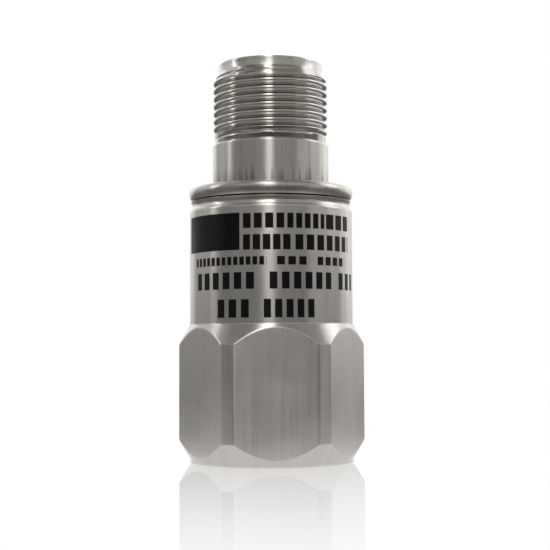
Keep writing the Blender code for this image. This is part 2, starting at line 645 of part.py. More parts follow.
def leads(white, red):
    """The two leads from the sensing stack up to the board, and the two from the board to the pins."""
    steps = 2
    signal_foot = (ELEMENT_LEAD_PLACE, 0.0, ELECTRODE_TOP + SEAT_CLEARANCE)
    return_foot = (-ELEMENT_LEAD_PLACE, 0.0, ELEMENT_BASE_TOP + SEAT_CLEARANCE)
    for name, foot, material in (("signal_lead", signal_foot, red), ("return_lead", return_foot, white)):
        lead(name, [foot, (foot[0], foot[1], BOARD_TOP)], material)

    for name, side, material in (("output_lead_a", -1, red), ("output_lead_b", 1, white)):
        pad_x = side * OUTPUT_PAD_SPACING / 2
        bushing_x = side * OUTPUT_LEAD_SPACING / 2
        pin_x = side * PIN_SPACING / 2
        bushing_bottom = CAN_CEILING - SEAT_CLEARANCE - BUSHING_FLANGE_THICKNESS
        rise = (bushing_bottom - BOARD_TOP) / 3
        flare = (PIN_TAIL - TOP_INSULATOR_TOP) / 3
        route = [
            (pad_x, -OUTPUT_PAD_OFFSET, BOARD_BOTTOM),
            (pad_x, -OUTPUT_PAD_OFFSET, BOARD_TOP + rise / 2),
            (pad_x, -OUTPUT_PAD_OFFSET * 0.75, BOARD_TOP + rise * 1.6),
            (bushing_x, -OUTPUT_PAD_OFFSET * 0.2, BOARD_TOP + rise * 2.4),
            (bushing_x, 0.0, bushing_bottom),
            (bushing_x, 0.0, TOP_INSULATOR_TOP),
            (pin_x * 0.9, 0.0, PIN_TAIL - flare),
            (pin_x, 0.0, PIN_TAIL),
            (pin_x, 0.0, PIN_TAIL + SOLDER_CUP_DEPTH - SEAT_CLEARANCE),
        ]
        lead(name, smooth_route(route, steps), material)


def main():
    clear_scene()
    steel = make_material("stainless_steel", (0.42, 0.41, 0.39), 0.32, 1.0)
    weld = make_material("weld_metal", (0.16, 0.15, 0.14), 0.45, 1.0)
    glass = make_material("seal_glass", (0.03, 0.05, 0.04), 0.12, 0.0)
    gold = make_material("gold_plating", (0.80, 0.60, 0.24), 0.22, 1.0)
    brass = make_material("brass", (0.62, 0.47, 0.22), 0.3, 1.0)
    tungsten = make_material("tungsten", (0.22, 0.22, 0.23), 0.4, 1.0)
    piezo = make_material("piezo_ceramic", (0.55, 0.50, 0.42), 0.6, 0.0)
    ceramic = make_material("white_ceramic", (0.80, 0.79, 0.75), 0.5, 0.0)
    plastic = make_material("insulating_plastic", (0.72, 0.68, 0.58), 0.5, 0.0)
    board = make_material("board_laminate", (0.03, 0.16, 0.07), 0.45, 0.0)
    dark = make_material("moulded_package", (0.02, 0.02, 0.02), 0.5, 0.0)
    tantalum = make_material("capacitor_resin", (0.66, 0.42, 0.08), 0.45, 0.0)
    white = make_material("white_insulation", (0.78, 0.78, 0.75), 0.5, 0.0)
    red = make_material("red_insulation", (0.45, 0.03, 0.03), 0.5, 0.0)

    sensor_case(steel)
    weld_bead(weld)
    connector_shell(steel)
    connector_contacts(glass, gold)
    isolation(plastic, ceramic, brass)
    lead_bushing(plastic)
    sensing_stack(steel, plastic, piezo, brass, tungsten)
    amplifier_board(board, plastic, dark, ceramic, tantalum)
    leads(white, red)


main()
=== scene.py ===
# %% [markdown]
# # A vibration sensor, dressed in Blender
#
# The sensor is a stainless accelerometer that stands on its hexagonal foot. Its connector, with a threaded
# shell and two pins, points up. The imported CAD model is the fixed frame: it says where every piece goes and
# how big it is. This lesson turns its plain solids into finished metal, one piece at a time.

import json
import math

import bmesh
import bpy
from mathutils import Matrix, Vector


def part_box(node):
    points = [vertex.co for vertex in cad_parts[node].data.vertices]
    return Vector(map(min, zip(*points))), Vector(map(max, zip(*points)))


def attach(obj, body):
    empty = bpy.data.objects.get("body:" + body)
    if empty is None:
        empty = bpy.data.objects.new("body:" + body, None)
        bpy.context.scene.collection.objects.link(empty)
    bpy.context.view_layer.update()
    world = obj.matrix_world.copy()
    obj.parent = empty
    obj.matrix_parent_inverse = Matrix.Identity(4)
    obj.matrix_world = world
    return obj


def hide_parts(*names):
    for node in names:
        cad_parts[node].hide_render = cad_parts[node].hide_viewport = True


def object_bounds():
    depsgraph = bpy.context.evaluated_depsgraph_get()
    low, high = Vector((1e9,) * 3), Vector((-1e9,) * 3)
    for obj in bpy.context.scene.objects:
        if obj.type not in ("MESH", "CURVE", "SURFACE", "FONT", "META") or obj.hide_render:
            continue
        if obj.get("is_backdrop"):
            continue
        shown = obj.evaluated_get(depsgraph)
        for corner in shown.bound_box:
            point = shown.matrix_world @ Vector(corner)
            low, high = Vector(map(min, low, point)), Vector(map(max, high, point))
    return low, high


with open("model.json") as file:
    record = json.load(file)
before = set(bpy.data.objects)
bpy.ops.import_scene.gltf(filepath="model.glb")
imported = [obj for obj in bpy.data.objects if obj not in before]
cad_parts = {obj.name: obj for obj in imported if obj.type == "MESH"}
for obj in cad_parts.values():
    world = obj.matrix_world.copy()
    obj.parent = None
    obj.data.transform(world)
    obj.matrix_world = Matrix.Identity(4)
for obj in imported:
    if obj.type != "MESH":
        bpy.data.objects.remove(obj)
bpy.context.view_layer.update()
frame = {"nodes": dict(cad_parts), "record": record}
scene = bpy.context.scene
MM = 0.001
DEG = math.pi / 180

# %% [markdown]
# ## Small tools for node trees
#
# Materials, geometry trees and the studio's light are all node trees. A few short helpers keep them
# readable: they place a node and join its sockets, do arithmetic, and open a group with named sockets.

# %% Placing and joining nodes
def fill(tree, socket, value):
    """Links a socket to another node's result, or writes a plain value into it."""
    if isinstance(value, bpy.types.NodeSocket):
        tree.links.new(value, socket)
    else:
        socket.default_value = (*value, 1.0) if socket.type == "RGBA" else value


def place(tree, kind, sockets=None, **settings):
    """Adds a node, sets its options, and links or fills the sockets that are named or numbered."""
    node = tree.nodes.new(kind)
    for option, value in settings.items():
        setattr(node, option, value)
    for key, value in (sockets or {}).items():
        fill(tree, node.inputs[key], value)
    return node


def maths(tree):
    """A short way to do arithmetic in one tree, by an operation and its values."""

    def m(operation, *values, clamp=False):
        sockets = dict(enumerate(values))
        return place(tree, "ShaderNodeMath", sockets, operation=operation, use_clamp=clamp).outputs[0]

    return m


def ease(tree, value, low, high, start=0.0, end=1.0):
    """A soft step: start below low, end above high."""
    sockets = dict(enumerate((value, low, high, start, end)))
    return place(tree, "ShaderNodeMapRange", sockets, interpolation_type="SMOOTHSTEP").outputs[0]


# %% Opening and closing a group
def open_group(name, inputs, kind="ShaderNodeTree"):
    """A node group with named inputs: each with its default, or None where its name is its kind."""
    tree = bpy.data.node_groups.new(name, kind)
    for label, value in inputs.items():
        socket = label if value is None else "Int" if isinstance(value, int) else "Float"
        made = tree.interface.new_socket(label, in_out="INPUT", socket_type="NodeSocket" + socket)
        if value is not None:
            made.default_value = value
    return tree, maths(tree), tree.nodes.new("NodeGroupInput").outputs


def send(tree, **results):
    """Gives the group an output for each result, of the same name."""
    out = tree.nodes.new("NodeGroupOutput")
    for label, result in results.items():
        socket = "Geometry" if label == "Geometry" else "Float"
        tree.interface.new_socket(label, in_out="OUTPUT", socket_type="NodeSocket" + socket)
        tree.links.new(result, out.inputs[label])
    return tree


# %% Places and noise
def object_spot(tree):
    """The place on the piece, in its own coordinates."""
    return place(tree, "ShaderNodeTexCoord").outputs["Object"]


def split(tree, vector):
    """A vector's X, Y and Z."""
    return place(tree, "ShaderNodeSeparateXYZ", {0: vector}).outputs


def joined(tree, x=0.0, y=0.0, z=0.0):
    """A vector from X, Y and Z."""
    return place(tree, "ShaderNodeCombineXYZ", {0: x, 1: y, 2: z}).outputs[0]


def length_of(tree, vector):
    """A vector's length."""
    return place(tree, "ShaderNodeVectorMath", {0: vector}, operation="LENGTH").outputs["Value"]


def noise(tree, spot, scale, detail=2.0, roughness=0.5):
    """Soft noise from 0 to 1."""
    sockets = {"Vector": spot, "Scale": scale, "Detail": detail, "Roughness": roughness}
    return place(tree, "ShaderNodeTexNoise", sockets).outputs[0]


print("node helpers ready in Blender", bpy.app.version_string)

# %% [markdown]
# ## Finishes shared by the metals
#
# Turning leaves fine rings round a part and, because the tool chatters a little, faint streaks along it.
# Handling leaves smears that dull the metal in places, and edges are rubbed brighter than the faces; that
# brightening is partly wear and partly a painted highlight. Each effect is a node group, built once, which every
# metal places with its own values.

# %% Turning grain
FACE_SHARE = 0.83
STREAK_DRIFT = 3.0
STREAK_RADIUS = 10.5 * MM


def make_turning_grain():
    """Rings round Z from the lathe with faint streaks across them: a height, and a tone round 0."""
    inputs = {"Ring Pitch": 0.00012, "Streak Width": 0.0005}
    tree, m, given = open_group("turning_grain", inputs)
    axes = split(tree, object_spot(tree))
    flat = joined(tree, axes["X"], axes["Y"])
    along = m("MULTIPLY_ADD", length_of(tree, flat), FACE_SHARE, axes["Z"])
    ring_sockets = {"W": m("DIVIDE", along, given["Ring Pitch"]), "Scale": 1.0, "Detail": 2.0}
    rings = place(tree, "ShaderNodeTexNoise", ring_sockets, noise_dimensions="1D").outputs[0]
    aim = place(tree, "ShaderNodeVectorMath", {0: flat}, operation="NORMALIZE").outputs[0]
    lift = joined(tree, z=m("MULTIPLY", along, STREAK_DRIFT))
    streak_spot = place(tree, "ShaderNodeVectorMath", {0: aim, 1: lift}, operation="ADD").outputs[0]
    streaks = noise(tree, streak_spot, m("DIVIDE", STREAK_RADIUS, given["Streak Width"]))
    tone = m("MULTIPLY_ADD", m("SUBTRACT", rings, 0.5), 0.3, m("SUBTRACT", streaks, 0.5))
    return send(tree, Height=rings, Tone=tone)


turning_grain = make_turning_grain()
print("turning grain:", len(turning_grain.nodes), "nodes")

# %% Handling smears, rubbed edges with a painted highlight, and painted shade streaks
def make_handling():
    """Broad smears and small specks, each from 0 to 1."""
    inputs = {"Smear Size": 0.006, "Speck Size": 0.0004}
    tree, m, given = open_group("handling", inputs)
    spot = object_spot(tree)
    smear = noise(tree, spot, m("DIVIDE", 1.0, given["Smear Size"]), 4.0, 0.6)
    speck = noise(tree, spot, m("DIVIDE", 1.0, given["Speck Size"]))
    return send(tree, Smear=ease(tree, smear, 0.4, 0.7), Speck=ease(tree, speck, 0.68, 0.76))


def make_edge_wear_and_highlight():
    """Where the piece's own edge attribute marks an edge, rubbed unevenly along it: partly wear, partly a painted
    highlight.
    """
    tree, m, given = open_group("edge_wear_and_highlight", {"Nick Size": 0.0007})
    edge = place(tree, "ShaderNodeAttribute", attribute_name="edge").outputs["Fac"]
    nicks = noise(tree, object_spot(tree), m("DIVIDE", 1.0, given["Nick Size"]), 3.0)
    rubbed = ease(tree, nicks, 0.25, 0.65, 0.7, 1.0)
    return send(tree, Worn=m("MULTIPLY", edge, rubbed, clamp=True))


def make_painted_shade_streaks():
    """Painted shade: dark streaks that rise from a corner, standing in for the shade and dark reflections there:
    1 at the corner, 0 above them.
    """
    inputs = {"Corner Height": 0.04, "Corner Radius": 0.008, "Streak Height": 0.0032, "Streak Width": 0.0005}
    tree, m, given = open_group("painted_shade_streaks", inputs)
    axes = split(tree, object_spot(tree))
    flat = joined(tree, axes["X"], axes["Y"])
    streaks = noise(tree, flat, m("DIVIDE", 1.0, given["Streak Width"]), 3.0)
    reach = m("MULTIPLY", given["Streak Height"], ease(tree, streaks, 0.35, 0.7, 0.25, 1.0))
    above = m("SUBTRACT", axes["Z"], given["Corner Height"])
    fade = m("SUBTRACT", 1.0, m("DIVIDE", above, reach), clamp=True)
    beside = m("LESS_THAN", length_of(tree, flat), given["Corner Radius"])
    inside = m("MULTIPLY", m("GREATER_THAN", above, 0.0), beside)
    dark = m("MULTIPLY", m("MULTIPLY", fade, inside), ease(tree, streaks, 0.4, 0.6, 0.2, 1.0))
    return send(tree, Dark=dark)


handling = make_handling()
edge_wear_and_highlight = make_edge_wear_and_highlight()
painted_shade_streaks = make_painted_shade_streaks()
print("shared finishes:", [group.name for group in bpy.data.node_groups])

# %% [markdown]
# ## The marked fields on the body
#
# The real body carries a dark laser-marked panel and rows of marks beside and below it. Here they are plain
# fields only: one solid panel and rows of small blocks, placed by their angle round the body and their
# height. A shader group draws one row, so that the whole layout is a short list of numbers.

# %% Rows of plain blocks
MARKED_RADIUS = 11.1 * MM


def make_marked_row():
    """A row of blocks between two angles and two heights, in metres and radians round Z from the front."""
    inputs = {"First Angle": -0.5, "Last Angle": 0.5, "Low": 0.0, "High": 0.001}
    inputs.update({"Block Pitch": 0.1, "Block Share": 0.8, "Soft": 0.00005})
    tree, m, given = open_group("marked_row", inputs)
    axes = split(tree, object_spot(tree))
    angle = m("ARCTAN2", axes["X"], m("MULTIPLY", axes["Y"], -1.0))
    soft_angle = m("DIVIDE", given["Soft"], MARKED_RADIUS)

    def between(value, low, high, soft):
        rise = ease(tree, value, m("SUBTRACT", low, soft), m("ADD", low, soft))
        fall = ease(tree, value, m("SUBTRACT", high, soft), m("ADD", high, soft), 1.0, 0.0)
        return m("MULTIPLY", rise, fall)

    across = between(angle, given["First Angle"], given["Last Angle"], soft_angle)
    upright = between(axes["Z"], given["Low"], given["High"], given["Soft"])
    share = m("FRACT", m("DIVIDE", m("SUBTRACT", angle, given["First Angle"]), given["Block Pitch"]))
    soft_share = m("DIVIDE", soft_angle, given["Block Pitch"])
    block = between(share, m("MULTIPLY", soft_share, -2.0), given["Block Share"], soft_share)
    return send(tree, Mark=m("MULTIPLY", m("MULTIPLY", across, upright), block))


marked_row = make_marked_row()

# Each row: first and last angle (degrees), low and high (mm), block pitch (degrees), a block's share of it
MARKED_ROWS = [
    (-79.0, -24.4, 27.95, 32.8, 60.0, 1.0),
    (-22.0, 6.0, 30.75, 32.7, 7.6, 0.72),
    (8.0, 36.0, 30.75, 32.7, 6.2, 0.7),
    (37.5, 66.0, 30.75, 32.7, 9.4, 0.78),
    (-22.0, 12.0, 27.95, 29.95, 6.8, 0.74),
    (13.5, 64.0, 27.95, 29.95, 8.2, 0.7),
    (-66.0, -6.0, 26.0, 27.1, 4.6, 0.7),
    (1.0, 24.0, 26.0, 27.1, 7.6, 0.7),
    (30.0, 58.0, 26.0, 27.1, 6.9, 0.7),
    (-64.0, -12.0, 22.9, 25.1, 8.8, 0.64),
    (-4.0, 44.0, 22.9, 25.1, 8.2, 0.64),
    (50.0, 76.0, 22.9, 25.1, 8.8, 0.64),
    (-42.0, -18.0, 19.2, 21.6, 9.2, 0.64),
    (-8.0, 28.0, 19.2, 21.6, 7.6, 0.64),
]
print("marked rows:", len(MARKED_ROWS))

# %% [markdown]
# ## Stainless steel
#
# The case and the connector are turned from stainless bar. Fine rings make such a surface anisotropic: it
# blurs a reflection along the part and leaves it sharp round the part, so that every light becomes a tall
# bright column. One function makes every metal, and the values that are the same all over a surface sit on
# the shader itself.

# %% Material helpers
def new_material(name):
    """A material with an empty tree, and that tree."""
    material = bpy.data.materials.new(name)
    material.use_nodes = True
    material.node_tree.nodes.clear()
    return material, material.node_tree


def show(tree, shader):
    """Joins a shader to the material's output."""
    place(tree, "ShaderNodeOutputMaterial", {"Surface": shader.outputs[0]})


def principled(tree, shade, roughness, relief, **more):
    """Shows a Principled shader with a colour, a roughness and a relief: its height, strength and depth."""
    bump = place(tree, "ShaderNodeBump", dict(zip(("Height", "Strength", "Distance"), relief)))
    sockets = {"Base Color": shade, "Roughness": roughness, "Normal": bump.outputs[0]}
    sockets.update({label.replace("_", " "): value for label, value in more.items()})
    show(tree, place(tree, "ShaderNodeBsdfPrincipled", sockets))


def scaled(color, factor):
    """A brighter or darker form of a colour."""
    return tuple(min(1.0, part * factor) for part in color)


def tinted(tree, color, factor):
    """The colour multiplied by a factor that varies over the surface."""
    grey = place(tree, "ShaderNodeCombineColor", {0: factor, 1: factor, 2: factor}).outputs[0]
    sockets = {0: 1.0, 6: color, 7: grey}
    return place(tree, "ShaderNodeMix", sockets, data_type="RGBA", blend_type="MULTIPLY").outputs[2]


def blended(tree, mask, base, over):
    """One colour over another by a mask."""
    return place(tree, "ShaderNodeMix", {0: mask, 6: base, 7: over}, data_type="RGBA").outputs[2]


# %% The metal maker
GRAIN_TURN = 0.25
RING_DEPTH = 0.12e-6
MARK_COLOR = (0.006, 0.005, 0.005)


def machined_metal(
    name,
    color,
    roughness,
    anisotropy=0.0,
    ring_pitch=0.12,
    streak_width=0.45,
    tone_depth=0.12,
    marks=(),
    painted_shade_corner=None,
):
    """A turned or drawn metal, sizes in mm, with marked fields and painted shade at a corner if asked."""
    material, tree = new_material(name)
    m = maths(tree)
    sizes = {"Ring Pitch": ring_pitch * MM, "Streak Width": streak_width * MM}
    grain = place(tree, "ShaderNodeGroup", sizes, node_tree=turning_grain).outputs
    smear = place(tree, "ShaderNodeGroup", node_tree=handling).outputs["Smear"]
    wear_and_highlight = place(tree, "ShaderNodeGroup", node_tree=edge_wear_and_highlight).outputs["Worn"]
    shade = tinted(tree, color, m("MULTIPLY_ADD", grain["Tone"], tone_depth, 1.0))
    # Edges lighter in colour: partly wear, partly a painted highlight
    shade = blended(tree, m("MULTIPLY", wear_and_highlight, 0.7), shade, scaled(color, 1.35))
    if painted_shade_corner:
        corner = dict(zip(("Corner Height", "Corner Radius"), painted_shade_corner))
        # Painted shade: dark streaks darken the colour just above the corner
        streaks = place(tree, "ShaderNodeGroup", corner, node_tree=painted_shade_streaks).outputs["Dark"]
        shade = blended(tree, m("MULTIPLY", streaks, 0.85), shade, scaled(color, 0.3))
    dull = m("MULTIPLY_ADD", smear, 0.05, roughness)
    dull = m("MULTIPLY_ADD", grain["Tone"], 0.05, dull)
    dull = m("MULTIPLY_ADD", wear_and_highlight, -0.05, dull)
    metal = 1.0
    if marks:
        mask = 0.0
        for first, last, low, high, pitch, share in marks:
            values = (first * DEG, last * DEG, low * MM, high * MM, pitch * DEG, share)
            row = place(tree, "ShaderNodeGroup", dict(enumerate(values)), node_tree=marked_row)
            mask = m("MAXIMUM", mask, row.outputs[0])
        shade = blended(tree, mask, shade, MARK_COLOR)
        dull = m("MULTIPLY_ADD", mask, 0.18, dull)
        metal = m("SUBTRACT", 1.0, mask)
    principled(
        tree,
        shade,
        dull,
        (grain["Height"], 1.0, RING_DEPTH),
        Metallic=metal,
        Anisotropic=anisotropy,
        Anisotropic_Rotation=GRAIN_TURN,
        Specular_IOR_Level=0.15 if marks else 0.5,
    )
    return material


# %% The metals
STEEL = (0.605, 0.577, 0.54)
# Where the painted shade starts: its height above the weld, and the radius that bounds it round the barrel
BARREL_SHADE_CORNER = (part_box("weld_bead")[1].z + 1.8 * MM, 8.1 * MM)
turned_steel = machined_metal(
    "turned_steel", STEEL, 0.25, anisotropy=0.75, streak_width=0.8, tone_depth=0.2, painted_shade_corner=BARREL_SHADE_CORNER
)
marked_steel = machined_metal("marked_steel", STEEL, 0.28, anisotropy=0.75, marks=MARKED_ROWS)
drawn_steel = machined_metal(
    "drawn_steel", STEEL, 0.3, anisotropy=0.6, ring_pitch=0.5, streak_width=0.4, tone_depth=0.24
)
thread_steel = machined_metal("thread_steel", STEEL, 0.13, ring_pitch=0.07, tone_depth=0.15)
weld_metal = machined_metal("weld_metal", (0.30, 0.28, 0.26), 0.4, tone_depth=0.3, streak_width=0.2)
gold_plate = machined_metal("gold_plate", (0.83, 0.62, 0.28), 0.22, anisotropy=0.4, ring_pitch=0.05)
print("nodes in the marked steel:", len(marked_steel.node_tree.nodes))

# %% [markdown]
# ## Skins from rings
#
# A turned part is an outline swept round an axis. Here each piece is a list of rings of points, bridged by
# faces. A ring doesn't have to be round or level: the rings of the foot follow the milled flats and rise
# and dip where a flat cuts a cone, so every edge of the hexagon lies exactly along the mesh.

# %% Skin helpers, sizes in mm
def even_angles(count):
    """Angles spaced evenly round the axis."""
    return [2 * math.pi * k / count for k in range(count)]


def level_ring(radius, height, angles, centre=(0.0, 0.0)):
    """A round, level ring."""
    x, y = centre
    return [((x + radius * math.cos(a)) * MM, (y + radius * math.sin(a)) * MM, height * MM) for a in angles]


def turned(outline, angles, centre=(0.0, 0.0)):
    """A level ring for each point of an outline."""
    return [level_ring(r, z, angles, centre) for r, z in outline]


def bridge(mesh, rings, slots=None):
    """Faces between each ring and the next; slots gives the material of each band."""
    rows = [[mesh.verts.new(point) for point in ring] for ring in rings]
    for number, (low, high) in enumerate(zip(rows, rows[1:])):
        for i in range(len(low)):
            j = (i + 1) % len(low)
            face = mesh.faces.new((low[i], low[j], high[j], high[i]))
            face.smooth = True
            face.material_index = slots[number] if slots else 0
    return rows


def close_pole(mesh, row, height, centre=(0.0, 0.0)):
    """A fan from a ring to a point in its middle."""
    tip = mesh.verts.new((centre[0] * MM, centre[1] * MM, height * MM))
    for i in range(len(row)):
        mesh.faces.new((row[i], row[(i + 1) % len(row)], tip)).smooth = True


# %% Outline helpers
GUARD_REACH = 0.08


def arc(centre, radius, start, end, steps):
    """Points of an arc in an outline, from one angle to another."""
    turns = [start + (end - start) * k / steps for k in range(steps + 1)]
    return [(centre[0] + radius * math.cos(t), centre[1] + radius * math.sin(t)) for t in turns]


def round_corners(corners, steps=3):
    """An open outline from corners: radius, height and a size where rounded. Guards flank the rounded ones."""
    made = [corners[0][:2]]
    for before, (r, z, *size), after in zip(corners, corners[1:-1], corners[2:]):
        if not size:
            made.append((r, z))
            continue
        corner, ways, guards = (r, z), [], []
        for other in (before[:2], after[:2]):
            length = math.dist(corner, other)
            for wanted, limit, found in ((size[0], 0.42, ways), (size[0] + GUARD_REACH, 0.48, guards)):
                reach = min(wanted, limit * length) / length if length > 0 else 0.0
                found.append(tuple(corner[k] + (other[k] - corner[k]) * reach for k in (0, 1)))
        made.append(guards[0])
        for step in range(steps + 1):
            t = step / steps
            weights = ((1 - t) ** 2, 2 * t * (1 - t), t * t)
            curve = (ways[0], corner, ways[1])
            made.append(tuple(sum(w * point[k] for w, point in zip(weights, curve)) for k in (0, 1)))
        made.append(guards[1])
    return made + [corners[-1][:2]]


# %% Finishing a piece
EDGE_TURN = 12 * DEG
FULL_EDGE_TURN = 20 * DEG
SHARP_TURN = 50 * DEG
WELD_REACH = 2e-7


def finished_piece(name, mesh, materials):
    """Merges doubles, turns faces outwards, marks edges for wear and a painted highlight, and links the piece at
    the origin.
    """
    bmesh.ops.remove_doubles(mesh, verts=mesh.verts, dist=WELD_REACH)
    bmesh.ops.dissolve_degenerate(mesh, edges=mesh.edges, dist=WELD_REACH)
    bmesh.ops.recalc_face_normals(mesh, faces=mesh.faces)
    mesh.normal_update()
    open_edges = sum(1 for edge in mesh.edges if not edge.is_manifold)
    edge_mark = mesh.verts.layers.float.new("edge")
    for edge in mesh.edges:
        turn = edge.calc_face_angle_signed(0.0) if len(edge.link_faces) == 2 else 0.0
        if turn > EDGE_TURN:
            strength = min(1.0, (turn - EDGE_TURN) / FULL_EDGE_TURN + 0.3)
            for corner in edge.verts:
                corner[edge_mark] = max(corner[edge_mark], strength)
    data = bpy.data.meshes.new(name)
    mesh.to_mesh(data)
    mesh.free()
    for material in materials:
        data.materials.append(material)
    data.set_sharp_from_angle(angle=SHARP_TURN)
    piece = bpy.data.objects.new(name, data)
    scene.collection.objects.link(piece)
    triangles = sum(len(face.vertices) - 2 for face in data.polygons)
    print(f"{name}: {triangles} triangles, {open_edges} open edges")
    return piece


# %% [markdown]
# ## The thread cutter
#
# A screw thread is a shape that follows a rule: one groove climbs by its pitch in every turn. The tree
# below lays a grid round the blank and shears it so that its rows climb with the groove; the last row of
# one turn then meets the first row of the next, and the seam closes by itself. Each point's distance from
# the axis is the blank's or the groove's, whichever is deeper, so the run-out and the connector's chamfers
# follow. The same tree cuts the connector's outside thread and the mounting hole's inside thread.

# %% A grid wrapped round the axis
def open_grid(tree, m, columns, rows):
    """A grid, and at each of its points the share of a lap and the share of the way up."""
    grid = place(tree, "GeometryNodeMeshGrid", {0: 1.0, 1: 1.0, 2: columns, 3: rows}).outputs["Mesh"]
    spot = split(tree, place(tree, "GeometryNodeInputPosition").outputs[0])
    return grid, m("ADD", spot["X"], 0.5), m("ADD", spot["Y"], 0.5)


def wrap_grid(tree, m, grid, angle, radius, height, material):
    """Moves the grid's points to an angle, radius and height, closes the seam and gives the material."""
    x, y = m("MULTIPLY", radius, m("COSINE", angle)), m("MULTIPLY", radius, m("SINE", angle))
    point = joined(tree, x, y, height)
    moved = place(tree, "GeometryNodeSetPosition", {"Geometry": grid, "Position": point}).outputs[0]
    merged = place(tree, "GeometryNodeMergeByDistance", {"Geometry": moved, "Distance": WELD_REACH}).outputs[0]
    real = place(tree, "GeometryNodeRealizeInstances", {"Geometry": merged}).outputs[0]
    return place(tree, "GeometryNodeSetMaterial", {"Geometry": real, "Material": material}).outputs[0]


# %% The geometry tree of the thread
def make_thread_cutter():
    """A threaded sleeve between two heights, with named inputs for its sizes."""
    inputs = {"Geometry": None, "Segments": 192, "Rows": 140, "Rows Per Turn": 14, "Side": 1.0}
    inputs.update({"Pitch": 0.001, "Bottom": 0.0, "Top": 0.01, "Crest Radius": 0.008, "Depth": 0.0006})
    inputs.update({"Root Share": 0.05, "Flank Share": 0.35, "Softness": 0.12})
    for end in ("Low", "High"):
        inputs.update({f"{end} Run-out": 0.001, f"{end} Step": 0.0})
        inputs.update({f"{end} Step Start": 0.0, f"{end} Step Rise": 0.001})
    inputs["Material"] = None
    tree, m, given = open_group("thread_cutter", inputs, "GeometryNodeTree")
    grid, lap, way_up = open_grid(tree, m, m("ADD", given["Segments"], 1.0), given["Rows"])
    row_height = m("DIVIDE", given["Pitch"], given["Rows Per Turn"])
    span = m("MULTIPLY", m("SUBTRACT", given["Rows"], 1.0), row_height)
    climb = m("MULTIPLY", m("SUBTRACT", lap, 1.0), given["Pitch"])
    free_height = m("ADD", m("MULTIPLY_ADD", way_up, span, given["Bottom"]), climb)
    height = m("MINIMUM", m("MAXIMUM", free_height, given["Bottom"]), given["Top"])
    from_bottom = m("SUBTRACT", height, given["Bottom"])
    phase = m("FRACT", m("SUBTRACT", m("DIVIDE", from_bottom, given["Pitch"]), lap))
    flank_width = m("SUBTRACT", given["Flank Share"], given["Root Share"])
    flank = m("DIVIDE", m("SUBTRACT", given["Flank Share"], m("PINGPONG", phase, 0.5)), flank_width)
    groove = m("SMOOTH_MAX", m("SMOOTH_MIN", flank, 1.0, given["Softness"]), 0.0, given["Softness"])
    fade_in = m("DIVIDE", from_bottom, given["Low Run-out"], clamp=True)
    fade_out = m("DIVIDE", m("SUBTRACT", given["Top"], height), given["High Run-out"], clamp=True)
    cut = m("MULTIPLY", m("MULTIPLY", given["Depth"], groove), m("MULTIPLY", fade_in, fade_out))

    def risen(end):
        over = m("SUBTRACT", height, given[f"{end} Step Start"])
        return m("DIVIDE", over, given[f"{end} Step Rise"], clamp=True)

    low_step = m("MULTIPLY", given["Low Step"], m("SUBTRACT", 1.0, risen("Low")))
    high_step = m("MULTIPLY", given["High Step"], risen("High"))
    crest = m("MULTIPLY", given["Crest Radius"], given["Side"])
    blank = m("SUBTRACT", m("SUBTRACT", crest, low_step), high_step)
    radius = m("MULTIPLY", m("MINIMUM", m("SUBTRACT", crest, cut), blank), given["Side"])
    angle = m("MULTIPLY", lap, 2 * math.pi)
    return send(tree, Geometry=wrap_grid(tree, m, grid, angle, radius, height, given["Material"]))


thread_cutter = make_thread_cutter()
print("thread cutter:", len(thread_cutter.nodes), "nodes")

# %% Growing a tree into a piece
def grow(mesh, slot, name, tree, values):
    """Runs a geometry tree with the named inputs and joins the mesh that it makes into a piece under way."""
    holder = bpy.data.objects.new(name, bpy.data.meshes.new(name))
    scene.collection.objects.link(holder)
    modifier = holder.modifiers.new("grow", "NODES")
    modifier.node_group = tree
    for item in tree.interface.items_tree:
        if item.item_type == "SOCKET" and item.in_out == "INPUT" and item.name in values:
            modifier[item.identifier] = values[item.name]
    made = bpy.data.meshes.new_from_object(holder.evaluated_get(bpy.context.evaluated_depsgraph_get()))
    holder.modifiers.remove(modifier)
    bpy.data.objects.remove(holder)
    print(f"{name}: {len(made.vertices)} points grown")
    before = len(mesh.faces)
    mesh.from_mesh(made)
    mesh.faces.ensure_lookup_table()
    for face in mesh.faces[before:]:
        face.smooth = True
        face.material_index = slot
    bpy.data.meshes.remove(made)


def grow_thread(mesh, slot, name, segments, rows_per_turn, side, softness, sizes):
    """Grows a thread from its sizes in mm into a piece under way."""
    turns = (sizes["Top"] - sizes["Bottom"]) / sizes["Pitch"] + 1
    values = {label: size * MM for label, size in sizes.items()}
    values.update({"Segments": segments, "Rows Per Turn": rows_per_turn, "Side": side, "Softness": softness})
    values.update({"Rows": math.ceil(turns * rows_per_turn) + 1, "Material": thread_steel})
    grow(mesh, slot, name, thread_cutter, values)


# %% [markdown]
# ## The case: hexagonal foot, body and neck
#
# The real case is turned from bar and six flats are milled on its foot. Where a flat cuts the two cones it
# leaves a curved edge, and between two flats a strip of the round bar is left. The outline is worked out
# for each column of the mesh from the angle to the nearest flat, so that those edges are sharp and can be
# rounded a little.

